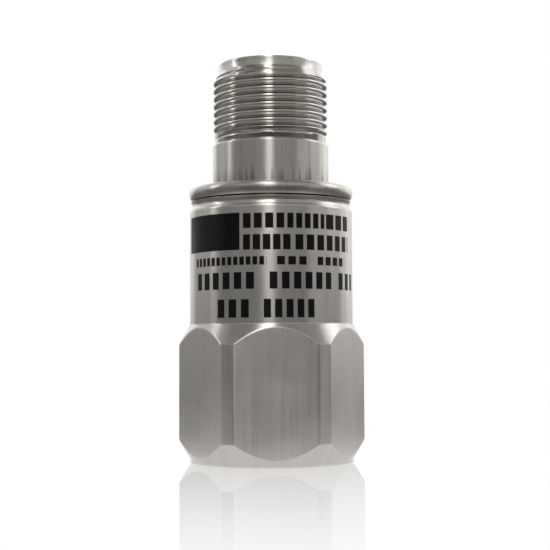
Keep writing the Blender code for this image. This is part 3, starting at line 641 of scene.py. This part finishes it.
# %% Sizes of the case, in mm
FLAT_DISTANCE = 11.35
BAR_RADIUS = 12.6
BODY_RADIUS = 11.1
NECK_GROOVE = [(10.84, 34.17), (10.75, 34.3), (10.71, 34.45), (10.73, 34.62), (10.79, 34.8), (10.87, 34.96)]
NECK_RIM_RADIUS = 10.95
FOOT_FACE_RADIUS = 10.84
FOOT_CHAMFER_TOP = 2.9
FOOT_TOP = 15.8
CONE_TOP = 18.45
BODY_TOP = 33.6
SHOULDER_ROUND = 0.6
NECK_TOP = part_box("sensor_case")[1].z / MM
CAVITY_RADIUS = 8.5
CAVITY_FLOOR = 9.0
HOLE_RADIUS = 2.75
HOLE_CHAMFER = 0.6
HOLE_DEPTH = 6.2
HOLE_PITCH = 25.4 / 28
HOLE_THREAD_TOP = 5.6
DRILL_SLOPE = math.tan(59 * DEG)
DRILL_POINT = HOLE_DEPTH + HOLE_RADIUS / DRILL_SLOPE
print("neck top at", round(NECK_TOP, 3), "mm; drill point at", round(DRILL_POINT, 3), "mm")

# %% The columns of the foot
STRIP_ANGLE = math.acos(FLAT_DISTANCE / BAR_RADIUS)
FLAT_STEPS = 11
STRIP_STEPS = 5
EASE_WIDTH = 0.05


def sector_angles():
    """Angles from one flat's middle to the next, closer together at the flat's edges."""
    flat = [STRIP_ANGLE * math.sin(math.pi / 2 * k / FLAT_STEPS) for k in range(FLAT_STEPS + 1)]
    strip = [STRIP_ANGLE + (60 * DEG - 2 * STRIP_ANGLE) * k / STRIP_STEPS for k in range(1, STRIP_STEPS)]
    return flat + strip + [60 * DEG - a for a in reversed(flat[1:])]


FOOT_ANGLES = [-90 * DEG + 60 * DEG * k + a for k in range(6) for a in sector_angles()]


def foot_radius(angle):
    """Distance from the axis to the hexagon with its round strips, the edges eased a little."""
    from_flat = (angle + 90 * DEG + 30 * DEG) % (60 * DEG) - 30 * DEG
    flat = FLAT_DISTANCE / math.cos(from_flat)
    blend = max(EASE_WIDTH - abs(flat - BAR_RADIUS), 0.0) / EASE_WIDTH
    return min(flat, BAR_RADIUS) - blend * blend * EASE_WIDTH / 4


print("columns round the foot:", len(FOOT_ANGLES))

# %% The outline of one column
def case_outline(radius):
    """Outline of the case in mm at a column where the foot has this radius."""
    low = FOOT_CHAMFER_TOP * (radius - FOOT_FACE_RADIUS) / (BAR_RADIUS - FOOT_FACE_RADIUS)
    high = FOOT_TOP + (CONE_TOP - FOOT_TOP) * (BAR_RADIUS - radius) / (BAR_RADIUS - BODY_RADIUS)
    foot = [
        (HOLE_RADIUS + HOLE_CHAMFER, 0.0),
        (FOOT_FACE_RADIUS, 0.0, 0.16),
        (radius, low, 0.14),
        (radius, high, 0.16),
        (BODY_RADIUS, CONE_TOP, 0.1),
    ]
    shoulder = arc((BODY_RADIUS - SHOULDER_ROUND, BODY_TOP), SHOULDER_ROUND, 0.0, 55 * DEG, 6)
    inside = [
        (NECK_RIM_RADIUS, NECK_TOP, 0.05),
        (CAVITY_RADIUS, NECK_TOP, 0.05),
        (CAVITY_RADIUS, CAVITY_FLOOR, 0.2),
        (0.5, CAVITY_FLOOR),
    ]
    return round_corners(foot + shoulder + NECK_GROOVE + inside)


outlines = [case_outline(foot_radius(a)) for a in FOOT_ANGLES]
print("points in each column:", len(outlines[0]))

# %% [markdown]
# The hole's rings are spaced evenly, while the foot's columns crowd at the flats' edges. Both have the same
# number of points, so the flat foot face between them is simply the band from one to the other.

# %% Skinning the case
CASE_MATERIALS = [turned_steel, drawn_steel, marked_steel, thread_steel]
TURNED, DRAWN, MARKED, THREADED = range(4)
DRILL_TIP = 0.4


def band_material(low, high):
    """The finish of the band between two heights: the foot is drawn bar, and the body carries the marks."""
    centre = (low + high) / 2
    if high > low and FOOT_CHAMFER_TOP < centre < FOOT_TOP:
        return DRAWN
    if high > low and CONE_TOP < centre < BODY_TOP:
        return MARKED
    return TURNED


def skin_case():
    """The case as one skin with its tapped hole, open round the hole's mouth: its chamfer is missing."""
    mesh = bmesh.new()
    count = len(FOOT_ANGLES)
    even = even_angles(count)
    rings = [[level_ring(r, z, [a])[0] for a, (r, z) in zip(FOOT_ANGLES, row)] for row in zip(*outlines)]
    mouth = level_ring(HOLE_RADIUS + HOLE_CHAMFER, 0.0, even)
    front = round(count * 0.75)
    rings[0] = mouth[front:] + mouth[:front]
    heights = [row[count // 2][1] for row in zip(*outlines)]
    slots = [band_material(low, high) for low, high in zip(heights, heights[1:])]
    rows = bridge(mesh, rings, slots)
    close_pole(mesh, rows[-1], CAVITY_FLOOR)
    sizes = {"Pitch": HOLE_PITCH, "Bottom": 0.0, "Top": HOLE_THREAD_TOP, "Crest Radius": HOLE_RADIUS}
    sizes.update({"Depth": 0.42, "Low Run-out": 1e-6, "High Run-out": 0.8})
    # An inside thread needs this step with the other sign: as it stands, no chamfer is cut at the mouth
    sizes.update({"Low Step": -HOLE_CHAMFER, "Low Step Start": 0.0, "Low Step Rise": HOLE_CHAMFER})
    grow_thread(mesh, THREADED, "hole_thread", count, 12, -1.0, 0.12, sizes)
    drilled = [(HOLE_RADIUS, HOLE_THREAD_TOP), (HOLE_RADIUS, HOLE_DEPTH)]
    drilled.append((DRILL_TIP, DRILL_POINT - DRILL_TIP / DRILL_SLOPE))
    rows = bridge(mesh, turned(drilled, even))
    close_pole(mesh, rows[-1], DRILL_POINT)
    return mesh


machined_case = finished_piece("machined_case", skin_case(), CASE_MATERIALS)

# %% [markdown]
# ## The connector shell
#
# Spigot, flange, barrel, thread, lead-in and socket are one turned piece. The flange's edge is a full
# round, which catches the lights as a bright bead. Inside the socket a key stands out of the wall, so that
# the plug fits one way.

# %% Sizes of the connector, in mm
SHELL_LOW, SHELL_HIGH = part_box("connector_shell")
SPIGOT_BOTTOM = SHELL_LOW.z / MM
RIM_TOP = SHELL_HIGH.z / MM
FLANGE_RADIUS = SHELL_HIGH.x / MM
FLANGE_BOTTOM = NECK_TOP + 0.22
FLANGE_TOP = FLANGE_BOTTOM + 1.76
UPPER_BEAD = 0.8
LOWER_BEAD = 1.5
FLANGE_WAIST = FLANGE_TOP - UPPER_BEAD
SPIGOT_RADIUS = 8.4
BARREL_RADIUS = 7.95
BARREL_TOP = FLANGE_TOP + 5.8
THREAD_RADIUS = 7.85
THREAD_DEPTH = 0.5
THREAD_PITCH = 25.4 / 24
RELIEF_RADIUS = 7.55
THREAD_BOTTOM = BARREL_TOP + 0.25
THREAD_RUNOUT = 1.7
LEAD_IN_RADIUS = 7.125
LEAD_IN_BOTTOM = RIM_TOP - 1.23
CHAMFER_START = LEAD_IN_BOTTOM - 1.35
SOCKET_RADIUS = 6.4
SOCKET_FLOOR = RIM_TOP - 9.5
GLASS_POCKET = 5.9
GLASS_SEAT = SOCKET_FLOOR - 3.9
TAIL_BORE = 5.1
KEY_FACE = 5.5
KEY_HALF = 0.9
KEY_LOW = SOCKET_FLOOR + 0.4
KEY_HIGH = RIM_TOP - 1.25
print("thread from", round(THREAD_BOTTOM, 2), "to", round(LEAD_IN_BOTTOM, 2), "mm")

# %% Outlines below and above the thread
SHELL_SEGMENTS = 192
SHELL_ANGLES = even_angles(SHELL_SEGMENTS)
BEAD_STEPS = 10


def lower_outline():
    """From the spigot up to the thread's relief."""
    lowest = -math.asin((FLANGE_WAIST - FLANGE_BOTTOM) / LOWER_BEAD)
    spigot = [(TAIL_BORE, SPIGOT_BOTTOM), (SPIGOT_RADIUS, SPIGOT_BOTTOM, 0.15), (SPIGOT_RADIUS, FLANGE_BOTTOM)]
    under = arc((FLANGE_RADIUS - LOWER_BEAD, FLANGE_WAIST), LOWER_BEAD, lowest, 0.0, BEAD_STEPS)[:-1]
    over = arc((FLANGE_RADIUS - UPPER_BEAD, FLANGE_WAIST), UPPER_BEAD, 0.0, 90 * DEG, BEAD_STEPS)
    barrel = [(BARREL_RADIUS, FLANGE_TOP, 0.3), (BARREL_RADIUS, BARREL_TOP, 0.1)]
    return round_corners(spigot + under + over + barrel + [(RELIEF_RADIUS, THREAD_BOTTOM)], steps=4)


def upper_outline():
    """From the lead-in over the rim and down into the socket."""
    rim = [(LEAD_IN_RADIUS, LEAD_IN_BOTTOM), (LEAD_IN_RADIUS, RIM_TOP, 0.22)]
    rim += [(SOCKET_RADIUS + 0.3, RIM_TOP, 0.1), (SOCKET_RADIUS, RIM_TOP - 0.3, 0.1), (SOCKET_RADIUS, KEY_HIGH)]
    return round_corners(rim, steps=4)


print("outline points:", len(lower_outline()), "below and", len(upper_outline()), "above the thread")

# %% The socket with its key
KEY_COLUMNS = 5
FRONT_COLUMN = SHELL_SEGMENTS * 3 // 4


def keyed_ring(height):
    """The socket's wall with the key standing out of it at the front."""
    ring = level_ring(SOCKET_RADIUS, height, SHELL_ANGLES)
    wall = math.sqrt(SOCKET_RADIUS**2 - KEY_HALF**2)
    for step in range(-KEY_COLUMNS, KEY_COLUMNS + 1):
        across, depth = KEY_HALF * step / (KEY_COLUMNS - 1), KEY_FACE
        if abs(step) == KEY_COLUMNS:
            across, depth = math.copysign(KEY_HALF, step), wall
        ring[FRONT_COLUMN + step] = (across * MM, -depth * MM, height * MM)
    return ring


def skin_shell():
    """The connector shell as one closed skin."""
    mesh = bmesh.new()
    bridge(mesh, turned(lower_outline(), SHELL_ANGLES))
    keyed = [keyed_ring(z) for z in (KEY_HIGH, KEY_HIGH - 0.1, KEY_LOW)]
    bore = [(SOCKET_RADIUS, KEY_LOW), (SOCKET_RADIUS, SOCKET_FLOOR), (GLASS_POCKET, SOCKET_FLOOR)]
    bore += [(GLASS_POCKET, GLASS_SEAT), (TAIL_BORE, GLASS_SEAT), (TAIL_BORE, SPIGOT_BOTTOM)]
    bridge(mesh, turned(upper_outline(), SHELL_ANGLES) + keyed + turned(bore, SHELL_ANGLES))
    sizes = {"Pitch": THREAD_PITCH, "Bottom": THREAD_BOTTOM, "Top": LEAD_IN_BOTTOM}
    sizes.update({"Crest Radius": THREAD_RADIUS, "Depth": THREAD_DEPTH, "Low Run-out": 1.3, "High Run-out": 0.55})
    sizes.update({"Low Step": THREAD_RADIUS - RELIEF_RADIUS, "High Step": THREAD_RADIUS - LEAD_IN_RADIUS})
    sizes.update({"Low Step Start": THREAD_BOTTOM, "Low Step Rise": THREAD_RUNOUT})
    sizes.update({"High Step Start": CHAMFER_START, "High Step Rise": LEAD_IN_BOTTOM - CHAMFER_START})
    grow_thread(mesh, 1, "connector_thread", SHELL_SEGMENTS, 16, 1.0, 0.3, sizes)
    return mesh


threaded_connector = finished_piece("threaded_connector", skin_shell(), [turned_steel, thread_steel])

# %% [markdown]
# ## The weld between neck and flange
#
# The neck and the flange are joined by one narrow weld. A welder's pulse leaves a row of overlapping
# ripples, which follow the joint all the way round. The tree sweeps a small round profile along a circle
# and lifts it once for each ripple.

# %% The geometry tree of the weld
PROFILE_POINTS = 13
COLUMNS_PER_RIPPLE = 5.0


def make_weld_ripples():
    """A bead along a circle with evenly spaced ripples."""
    inputs = {"Geometry": None, "Seam Radius": 0.01, "Seam Height": 0.03, "Half Depth": 0.0003}
    inputs.update({"Half Height": 0.00007, "Ripples": 180, "Ripple Height": 0.00002, "Uneven": 0.3})
    inputs.update({"Seed": 7, "Material": None})
    tree, m, given = open_group("weld_ripples", inputs, "GeometryNodeTree")
    columns = m("MULTIPLY_ADD", given["Ripples"], COLUMNS_PER_RIPPLE, 1.0)
    grid, lap, profile = open_grid(tree, m, columns, PROFILE_POINTS)
    around = m("MULTIPLY", profile, 2 * math.pi)
    angle = m("MULTIPLY", lap, 2 * math.pi)
    bow = m("MULTIPLY", m("COSINE", around), 0.35)
    ripple = m("FRACT", m("ADD", m("MULTIPLY", lap, given["Ripples"]), bow))
    lift = m("POWER", m("SINE", m("MULTIPLY", ripple, math.pi)), 0.6)
    circle = joined(tree, m("COSINE", angle), m("SINE", angle))
    wobble_sockets = {"Vector": circle, "W": given["Seed"], "Scale": 9.0}
    wobble = place(tree, "ShaderNodeTexNoise", wobble_sockets, noise_dimensions="4D").outputs[0]
    swing = m("MULTIPLY", m("SUBTRACT", wobble, 0.5), given["Uneven"])
    rise = m("MULTIPLY", given["Ripple Height"], m("ADD", m("SUBTRACT", lift, 1.0), swing))
    outwards = m("MULTIPLY", m("COSINE", around), m("ADD", given["Half Depth"], rise))
    upwards = m("MULTIPLY", m("SINE", around), given["Half Height"])
    radius = m("ADD", given["Seam Radius"], outwards)
    height = m("ADD", given["Seam Height"], upwards)
    return send(tree, Geometry=wrap_grid(tree, m, grid, angle, radius, height, given["Material"]))


weld_ripples = make_weld_ripples()
print("weld tree:", len(weld_ripples.nodes), "nodes")

# %% Laying the weld
weld_low, weld_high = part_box("weld_bead")
HALF_WELD = 0.3 * MM
weld_sizes = {
    "Seam Radius": weld_high.x - HALF_WELD,
    "Seam Height": (weld_low.z + weld_high.z) / 2,
    "Half Depth": HALF_WELD,
    "Half Height": (weld_high.z - weld_low.z) / 2,
    "Ripples": 180,
    "Ripple Height": 0.05 * MM,
    "Material": weld_metal,
}
weld_mesh = bmesh.new()
grow(weld_mesh, 0, "weld", weld_ripples, weld_sizes)
weld_seam = finished_piece("weld_seam", weld_mesh, [weld_metal])

# %% [markdown]
# ## Glass seal and pins
#
# The pins come up through a disc of fused glass. Molten glass creeps up whatever it wets, so its face is a
# shallow dish with a raised rim at the wall and round each pin. The pins are turned, with rounded tips, and
# gold plated.

# %% The shape of the glass, in mm
glass_low, glass_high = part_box("glass_seal")
GLASS_RADIUS, GLASS_BOTTOM, GLASS_TOP = (side / MM for side in (glass_high.x, glass_low.z, glass_high.z))
GLASS_CENTRE = 0.1
GLASS_RINGS = 40
DISH_DEPTH = 0.38
WALL_CREEP, PIN_CREEP = 0.35, 0.3
pin_boxes = [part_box(name) for name in ("contact_pin_a", "contact_pin_b")]
PIN_PLACES = [((low.x + high.x) / 2 / MM, (low.y + high.y) / 2 / MM) for low, high in pin_boxes]
PIN_RADIUS = (pin_boxes[0][1].x - pin_boxes[0][0].x) / 2 / MM


def glass_height(x, y):
    """Height of the glass face: a dish that climbs the wall and the pins."""
    to_wall = GLASS_RADIUS - math.hypot(x, y)
    to_pin = min(math.hypot(x - px, y - py) - PIN_RADIUS for px, py in PIN_PLACES)
    gaps = ((to_wall, WALL_CREEP), (to_pin, PIN_CREEP))
    creep = sum(reach * math.exp(-max(gap, 0.0) / reach) for gap, reach in gaps)
    return GLASS_TOP - DISH_DEPTH + min(creep, DISH_DEPTH)


def skin_glass():
    """The glass as a closed disc with a modelled upper face."""
    mesh = bmesh.new()
    angles = even_angles(96)
    rings = [level_ring(radius, GLASS_BOTTOM, angles) for radius in (GLASS_CENTRE, GLASS_RADIUS)]
    for step in range(GLASS_RINGS):
        radius = GLASS_RADIUS + (GLASS_CENTRE - GLASS_RADIUS) * step / (GLASS_RINGS - 1)
        flat = level_ring(radius, 0.0, angles)
        rings.append([(x, y, glass_height(x / MM, y / MM) * MM) for x, y, _ in flat])
    rows = bridge(mesh, rings)
    close_pole(mesh, rows[-1], glass_height(0.0, 0.0))
    close_pole(mesh, rows[0], GLASS_BOTTOM)
    return mesh


# %% The look of the glass
def make_sealing_glass():
    """Dark green-black glass with small bubbles under a glossy face."""
    material, tree = new_material("sealing_glass")
    m = maths(tree)
    spot = object_spot(tree)
    swirl = noise(tree, spot, 900.0, 4.0)
    bubbles = place(tree, "ShaderNodeTexVoronoi", {"Vector": spot, "Scale": 3500.0}).outputs["Distance"]
    bubble_mask = m("MULTIPLY", ease(tree, bubbles, 0.08, 0.2, 1.0, 0.0), 0.5)
    shade = blended(tree, ease(tree, swirl, 0.35, 0.65), (0.020, 0.034, 0.030), (0.045, 0.07, 0.06))
    shade = blended(tree, bubble_mask, shade, (0.16, 0.2, 0.18))
    principled(tree, shade, m("MULTIPLY_ADD", swirl, 0.1, 0.04), (swirl, 0.3, 0.02 * MM), Coat_Weight=0.5)
    return material


sealing_glass = make_sealing_glass()
fused_glass = finished_piece("fused_glass", skin_glass(), [sealing_glass])

# %% Pins
CUP_RADIUS = 0.45
CUP_DEPTH = 1.4
TIP_STEPS = 11


def skin_pin(centre, low, high):
    """A turned pin with a rounded tip and a solder cup in its tail."""
    mesh = bmesh.new()
    cup_floor = low + CUP_DEPTH
    tail = [(0.1, cup_floor), (CUP_RADIUS, cup_floor), (CUP_RADIUS, low, 0.05), (PIN_RADIUS, low, 0.05)]
    tip = arc((0.0, high - PIN_RADIUS), PIN_RADIUS, 0.0, 90 * DEG, TIP_STEPS)[:-1]
    rows = bridge(mesh, turned(round_corners(tail + tip), even_angles(48), centre))
    close_pole(mesh, rows[0], cup_floor, centre)
    close_pole(mesh, rows[-1], high, centre)
    return mesh


gold_pins = []
for letter, spot, (low, high) in zip("ab", PIN_PLACES, pin_boxes):
    pin_mesh = skin_pin(spot, low.z / MM, high.z / MM)
    gold_pins.append(finished_piece(f"gold_pin_{letter}", pin_mesh, [gold_plate]))

# %% [markdown]
# ## Finishes of the inner parts
#
# Nothing inside the case shows in the photograph, but a part that is opened or cut should still look right.
# These pieces keep their CAD meshes and get a finish each: drawn brass, ground tungsten, fired ceramic,
# moulded plastic, woven laminate. One function makes the dull ones from a noise that mottles the colour and
# roughens the face.

# %% Dull finishes
def mottled(name, color, roughness, grain_size, depth=0.12, coat=0.0):
    """A ceramic, plastic or resin with mottled colour and a fine skin."""
    material, tree = new_material(name)
    m = maths(tree)
    grain = noise(tree, object_spot(tree), 1.0 / (grain_size * MM), 4.0)
    touch = place(tree, "ShaderNodeGroup", node_tree=handling).outputs
    shade = tinted(tree, color, m("MULTIPLY_ADD", m("SUBTRACT", grain, 0.5), depth * 2, 1.0))
    shade = blended(tree, m("MULTIPLY", touch["Speck"], 0.4), shade, scaled(color, 0.55))
    dull = m("MULTIPLY_ADD", touch["Smear"], 0.12, roughness)
    principled(tree, shade, dull, (grain, 0.6, 0.004 * MM), Coat_Weight=coat)
    return material


def make_laminate():
    """Green glass-fibre board: a fine weave under solder resist."""
    material, tree = new_material("woven_laminate")
    m = maths(tree)
    threads = {"Vector": object_spot(tree), "Scale": 900.0, "Distortion": 0.6}
    ways = [place(tree, "ShaderNodeTexWave", threads, bands_direction=way).outputs["Fac"] for way in "XY"]
    weave = m("MULTIPLY", *ways)
    shade = blended(tree, weave, (0.02, 0.13, 0.05), (0.045, 0.24, 0.10))
    principled(tree, shade, m("MULTIPLY_ADD", weave, 0.12, 0.3), (weave, 0.4, 0.01 * MM), Coat_Weight=0.3)
    return material


# %% A finish for every slot
SLOT_FINISHES = {
    "steel": machined_metal("inner_steel", STEEL, 0.3, anisotropy=0.5),
    "brass": machined_metal("drawn_brass", (0.72, 0.55, 0.26), 0.3, anisotropy=0.4),
    "tungsten": machined_metal("ground_tungsten", (0.34, 0.34, 0.35), 0.38, ring_pitch=0.05),
    "piezo": mottled("fired_piezo", (0.62, 0.55, 0.43), 0.62, 0.05),
    "white_ceramic": mottled("alumina", (0.83, 0.82, 0.78), 0.5, 0.04, depth=0.05),
    "insulator": mottled("insulating_plastic", (0.72, 0.67, 0.54), 0.45, 0.3, depth=0.06),
    "laminate": make_laminate(),
    "package": mottled("moulded_package", (0.025, 0.025, 0.027), 0.55, 0.03, depth=0.3),
    "capacitor_resin": mottled("cast_resin", (0.75, 0.48, 0.10), 0.35, 0.2, coat=0.2),
    "capacitor_ceramic": mottled("chip_ceramic", (0.50, 0.38, 0.25), 0.4, 0.05),
    "lead_red": mottled("red_insulation", (0.50, 0.035, 0.025), 0.35, 0.1, coat=0.2),
    "lead_white": mottled("white_insulation", (0.80, 0.79, 0.74), 0.35, 0.1, coat=0.2),
    "weld": weld_metal,
    "seal_glass": sealing_glass,
    "gold_contact": gold_plate,
}
slot_of_node = {row["node"]: row["material_slot"] for row in frame["record"]["subparts"]}
for node_name, node in frame["nodes"].items():
    node.data.materials.clear()
    node.data.materials.append(SLOT_FINISHES[slot_of_node[node_name]])
print("finished nodes:", len(frame["nodes"]))

# %% [markdown]
# ## The studio
#
# The photograph was taken on white, with a tall narrow light to the left, one in front, a wide soft one to
# the right, and a bright backdrop. Bare metal shows nothing but its surroundings, so the world is drawn as
# those panels: each is a soft-edged patch of sky. The camera itself sees plain white.

# %% One light panel
PANEL_TOP_EDGE = 8.0


def make_studio_panel():
    """How bright a panel is in a direction: a soft-edged patch in azimuth and elevation, in degrees."""
    inputs = {"Azimuth": 0.0, "Elevation": 0.0, "Centre": 0.0, "Half Width": 10.0, "Edge": 5.0}
    inputs.update({"Low": -90.0, "Full": -80.0, "High": 90.0, "Brightness": 1.0})
    tree, m, given = open_group("studio_panel", inputs)
    away = m("ABSOLUTE", m("WRAP", m("SUBTRACT", given["Azimuth"], given["Centre"]), 180.0, -180.0))
    across = ease(tree, away, given["Half Width"], m("ADD", given["Half Width"], given["Edge"]), 1.0, 0.0)
    low = ease(tree, given["Elevation"], given["Low"], given["Full"])
    high = ease(tree, given["Elevation"], given["High"], m("ADD", given["High"], PANEL_TOP_EDGE), 1.0, 0.0)
    lit = m("MULTIPLY", m("MULTIPLY", across, low), high)
    return send(tree, Light=m("MULTIPLY", lit, given["Brightness"]))


studio_panel = make_studio_panel()

# Each panel: centre, half width, soft edge, elevations of its start, full light and top, and its brightness
STUDIO_PANELS = [
    ("front_strip", -5.0, 4.0, 5.0, 2, 14, 50, 1.45),
    ("front_low", -9.0, 4.0, 5.0, -70, -60, 3, 0.3),
    ("overhead_box", -12.0, 8.0, 10.0, 33, 43, 74, 2.0),
    ("overhead_back", 177.5, 4.0, 5.0, 26, 34, 76, 2.2),
    ("left_strip", -93.0, 2.0, 3.5, 0, 13, 34, 1.1),
    ("left_strip_high", -94.0, 3.0, 4.0, 12, 22, 30, 1.8),
    ("left_strip_top", -104.0, 1.3, 2.6, 32, 40, 60, 1.1),
    ("right_box", 98.0, 11.0, 6.0, 3, 19, 40, 0.95),
    ("right_box_high", 116.0, 12.0, 8.0, 17, 30, 50, 0.95),
    ("right_front", 64.0, 10.0, 8.0, -70, -60, 12, 0.36),
    ("front_fill", 22.0, 13.0, 4.0, -70, -60, 30, 0.05),
    ("left_flag", -72.0, 10.0, 6.0, 4, 12, 90, -0.1),
    ("left_rear", -117.0, 13.0, 6.0, -70, -60, 90, 0.27),
    ("right_rear", 125.0, 10.0, 8.0, -70, -60, 18, 0.72),
    ("backdrop", 178.0, 36.0, 14.0, -70, -60, 40, 0.75),
]
SKY_LOW, SKY_MIDDLE, SKY_HIGH = 0.16, 0.45, 0.24
WHITE = (1.0, 1.0, 1.0)
print("studio panels:", len(STUDIO_PANELS))

# %% Building the world
def mixed(tree, share, first, second):
    """A shader between two others."""
    return place(tree, "ShaderNodeMixShader", {0: share, 1: first.outputs[0], 2: second.outputs[0]})


world = bpy.data.worlds.new("studio")
scene.world = world
world.use_nodes = True
tree = world.node_tree
tree.nodes.clear()
m = maths(tree)
axes = split(tree, place(tree, "ShaderNodeTexCoord").outputs["Generated"])
azimuth = m("MULTIPLY", m("ARCTAN2", axes["X"], m("MULTIPLY", axes["Y"], -1.0)), 1 / DEG)
elevation = m("MULTIPLY", m("ARCSINE", axes["Z"]), 1 / DEG)
rising = ease(tree, elevation, 1.0, 19.0, SKY_LOW, SKY_MIDDLE)
light = m("ADD", rising, ease(tree, elevation, 34.0, 62.0, 0.0, SKY_HIGH - SKY_MIDDLE))
for name, *values in STUDIO_PANELS:
    sockets = dict(enumerate((azimuth, elevation, *values)))
    panel = place(tree, "ShaderNodeGroup", sockets, node_tree=studio_panel, label=name)
    light = m("ADD", light, panel.outputs[0])
sky = place(tree, "ShaderNodeBackground", {"Color": WHITE, "Strength": light})
white = place(tree, "ShaderNodeBackground", {"Color": WHITE, "Strength": 1.0})
ray = place(tree, "ShaderNodeLightPath").outputs
plain = m("MAXIMUM", ray["Is Camera Ray"], ray["Is Singular Ray"])
place(tree, "ShaderNodeOutputWorld", {"Surface": mixed(tree, plain, sky, white).outputs[0]})
print("nodes in the sky:", len(tree.nodes))

# %% [markdown]
# ## The floor
#
# The sensor stands on a glossy white table. The camera sees white with a faint mirror image that fades away from
# the foot and a thin painted contact shadow round it, while the metal sees a pale grey, brighter close to the
# foot. From below the table can be seen through.

# %% The table's look
MIRROR_SHARE, MIRROR_START, MIRROR_END = 0.6, 10 * MM, 92 * MM
NEAR_LIGHT, FAR_LIGHT = 0.82, 0.16
FRONT_DIMMING = 0.48
floor_finish, tree = new_material("glossy_white_table")
m = maths(tree)
spot = object_spot(tree)
axes = split(tree, spot)
away = length_of(tree, spot)
fading = {0: away, 1: MIRROR_START, 2: MIRROR_END, 3: MIRROR_SHARE, 4: 0.0}
fade = place(tree, "ShaderNodeMapRange", fading).outputs[0]
mirror = place(tree, "ShaderNodeBsdfGlossy", {"Color": WHITE, "Roughness": 0.0})
# Painted contact shadow: a thin darker ring on the table's white round the foot
painted_contact_shadow = ease(tree, away, 10.75 * MM, 11.5 * MM, 0.2, 1.0)
table_white = place(tree, "ShaderNodeEmission", {"Strength": painted_contact_shadow})
seen = mixed(tree, fade, table_white, mirror)
forward = m("DIVIDE", m("MULTIPLY", axes["Y"], -1.0), away)
in_front = ease(tree, forward, 0.5, 0.92, 0.0, FRONT_DIMMING)
dimmed = m("MULTIPLY", in_front, ease(tree, away, 14 * MM, 28 * MM))
near = ease(tree, away, 18 * MM, 55 * MM, NEAR_LIGHT, FAR_LIGHT)
reflected = place(tree, "ShaderNodeEmission", {"Strength": m("MULTIPLY", near, m("SUBTRACT", 1.0, dimmed))})
camera_ray = place(tree, "ShaderNodeLightPath").outputs["Is Camera Ray"]
below = place(tree, "ShaderNodeNewGeometry").outputs["Backfacing"]
open_below = place(tree, "ShaderNodeBsdfTransparent")
show(tree, mixed(tree, below, mixed(tree, camera_ray, reflected, seen), open_below))
print("nodes in the table:", len(tree.nodes))

# %% The table
FLOOR_RADIUS = 1.5
floor_mesh = bmesh.new()
bmesh.ops.create_circle(floor_mesh, cap_ends=True, segments=64, radius=FLOOR_RADIUS)
floor_data = bpy.data.meshes.new("studio_floor")
floor_mesh.to_mesh(floor_data)
floor_mesh.free()
floor_data.materials.append(floor_finish)
studio_floor = bpy.data.objects.new("studio_floor", floor_data)
scene.collection.objects.link(studio_floor)
studio_floor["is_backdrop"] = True
print("floor radius:", FLOOR_RADIUS, "m")

# %% [markdown]
# ## The camera
#
# The rings of the sensor show how the camera stood: about 173 mm from the axis, 16 mm above the table, a
# little to the left of the foot's front flat, tilted up by 3 degrees.

# %% Camera
CAMERA_DISTANCE = 173.0
CAMERA_HEIGHT = 15.8
CAMERA_AZIMUTH = -2.9
TILT_UP = 3.127
PAN_RIGHT = 0.172
ROLL = -0.3
camera_data = bpy.data.cameras.new("studio_camera")
camera_data.lens = 82.7
camera_data.sensor_width = 36.0
camera_data.clip_start = 0.01
camera_data.clip_end = 10.0
camera = bpy.data.objects.new("studio_camera", camera_data)
scene.collection.objects.link(camera)
side = CAMERA_AZIMUTH * DEG
stand = Vector((math.sin(side), -math.cos(side), 0.0)) * CAMERA_DISTANCE + Vector((0.0, 0.0, CAMERA_HEIGHT))
aim = Matrix.Rotation(side - PAN_RIGHT * DEG, 4, "Z") @ Matrix.Rotation((90 + TILT_UP) * DEG, 4, "X")
camera.matrix_world = Matrix.Translation(stand * MM) @ aim @ Matrix.Rotation(ROLL * DEG, 4, "Z")
scene.camera = camera
scene.view_settings.view_transform = "Standard"
print("camera at", [round(part, 1) for part in stand], "mm")

# %% [markdown]
# ## The pieces on the body
#
# Every piece rides on the sensor's one body and stands for the CAD node it was made after, which is hidden. The
# box round all that is shown is printed last.

# %% Riding and sizes
DRESSED = [
    (machined_case, "sensor_case", "steel"),
    (threaded_connector, "connector_shell", "steel"),
    (weld_seam, "weld_bead", "weld"),
    (fused_glass, "glass_seal", "seal_glass"),
    (gold_pins[0], "contact_pin_a", "gold_contact"),
    (gold_pins[1], "contact_pin_b", "gold_contact"),
]
for piece, node_name, slot_name in DRESSED:
    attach(piece, "root")
    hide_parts(node_name)

low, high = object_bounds()
print("visual box in mm:", [round(side / MM, 2) for side in high - low])
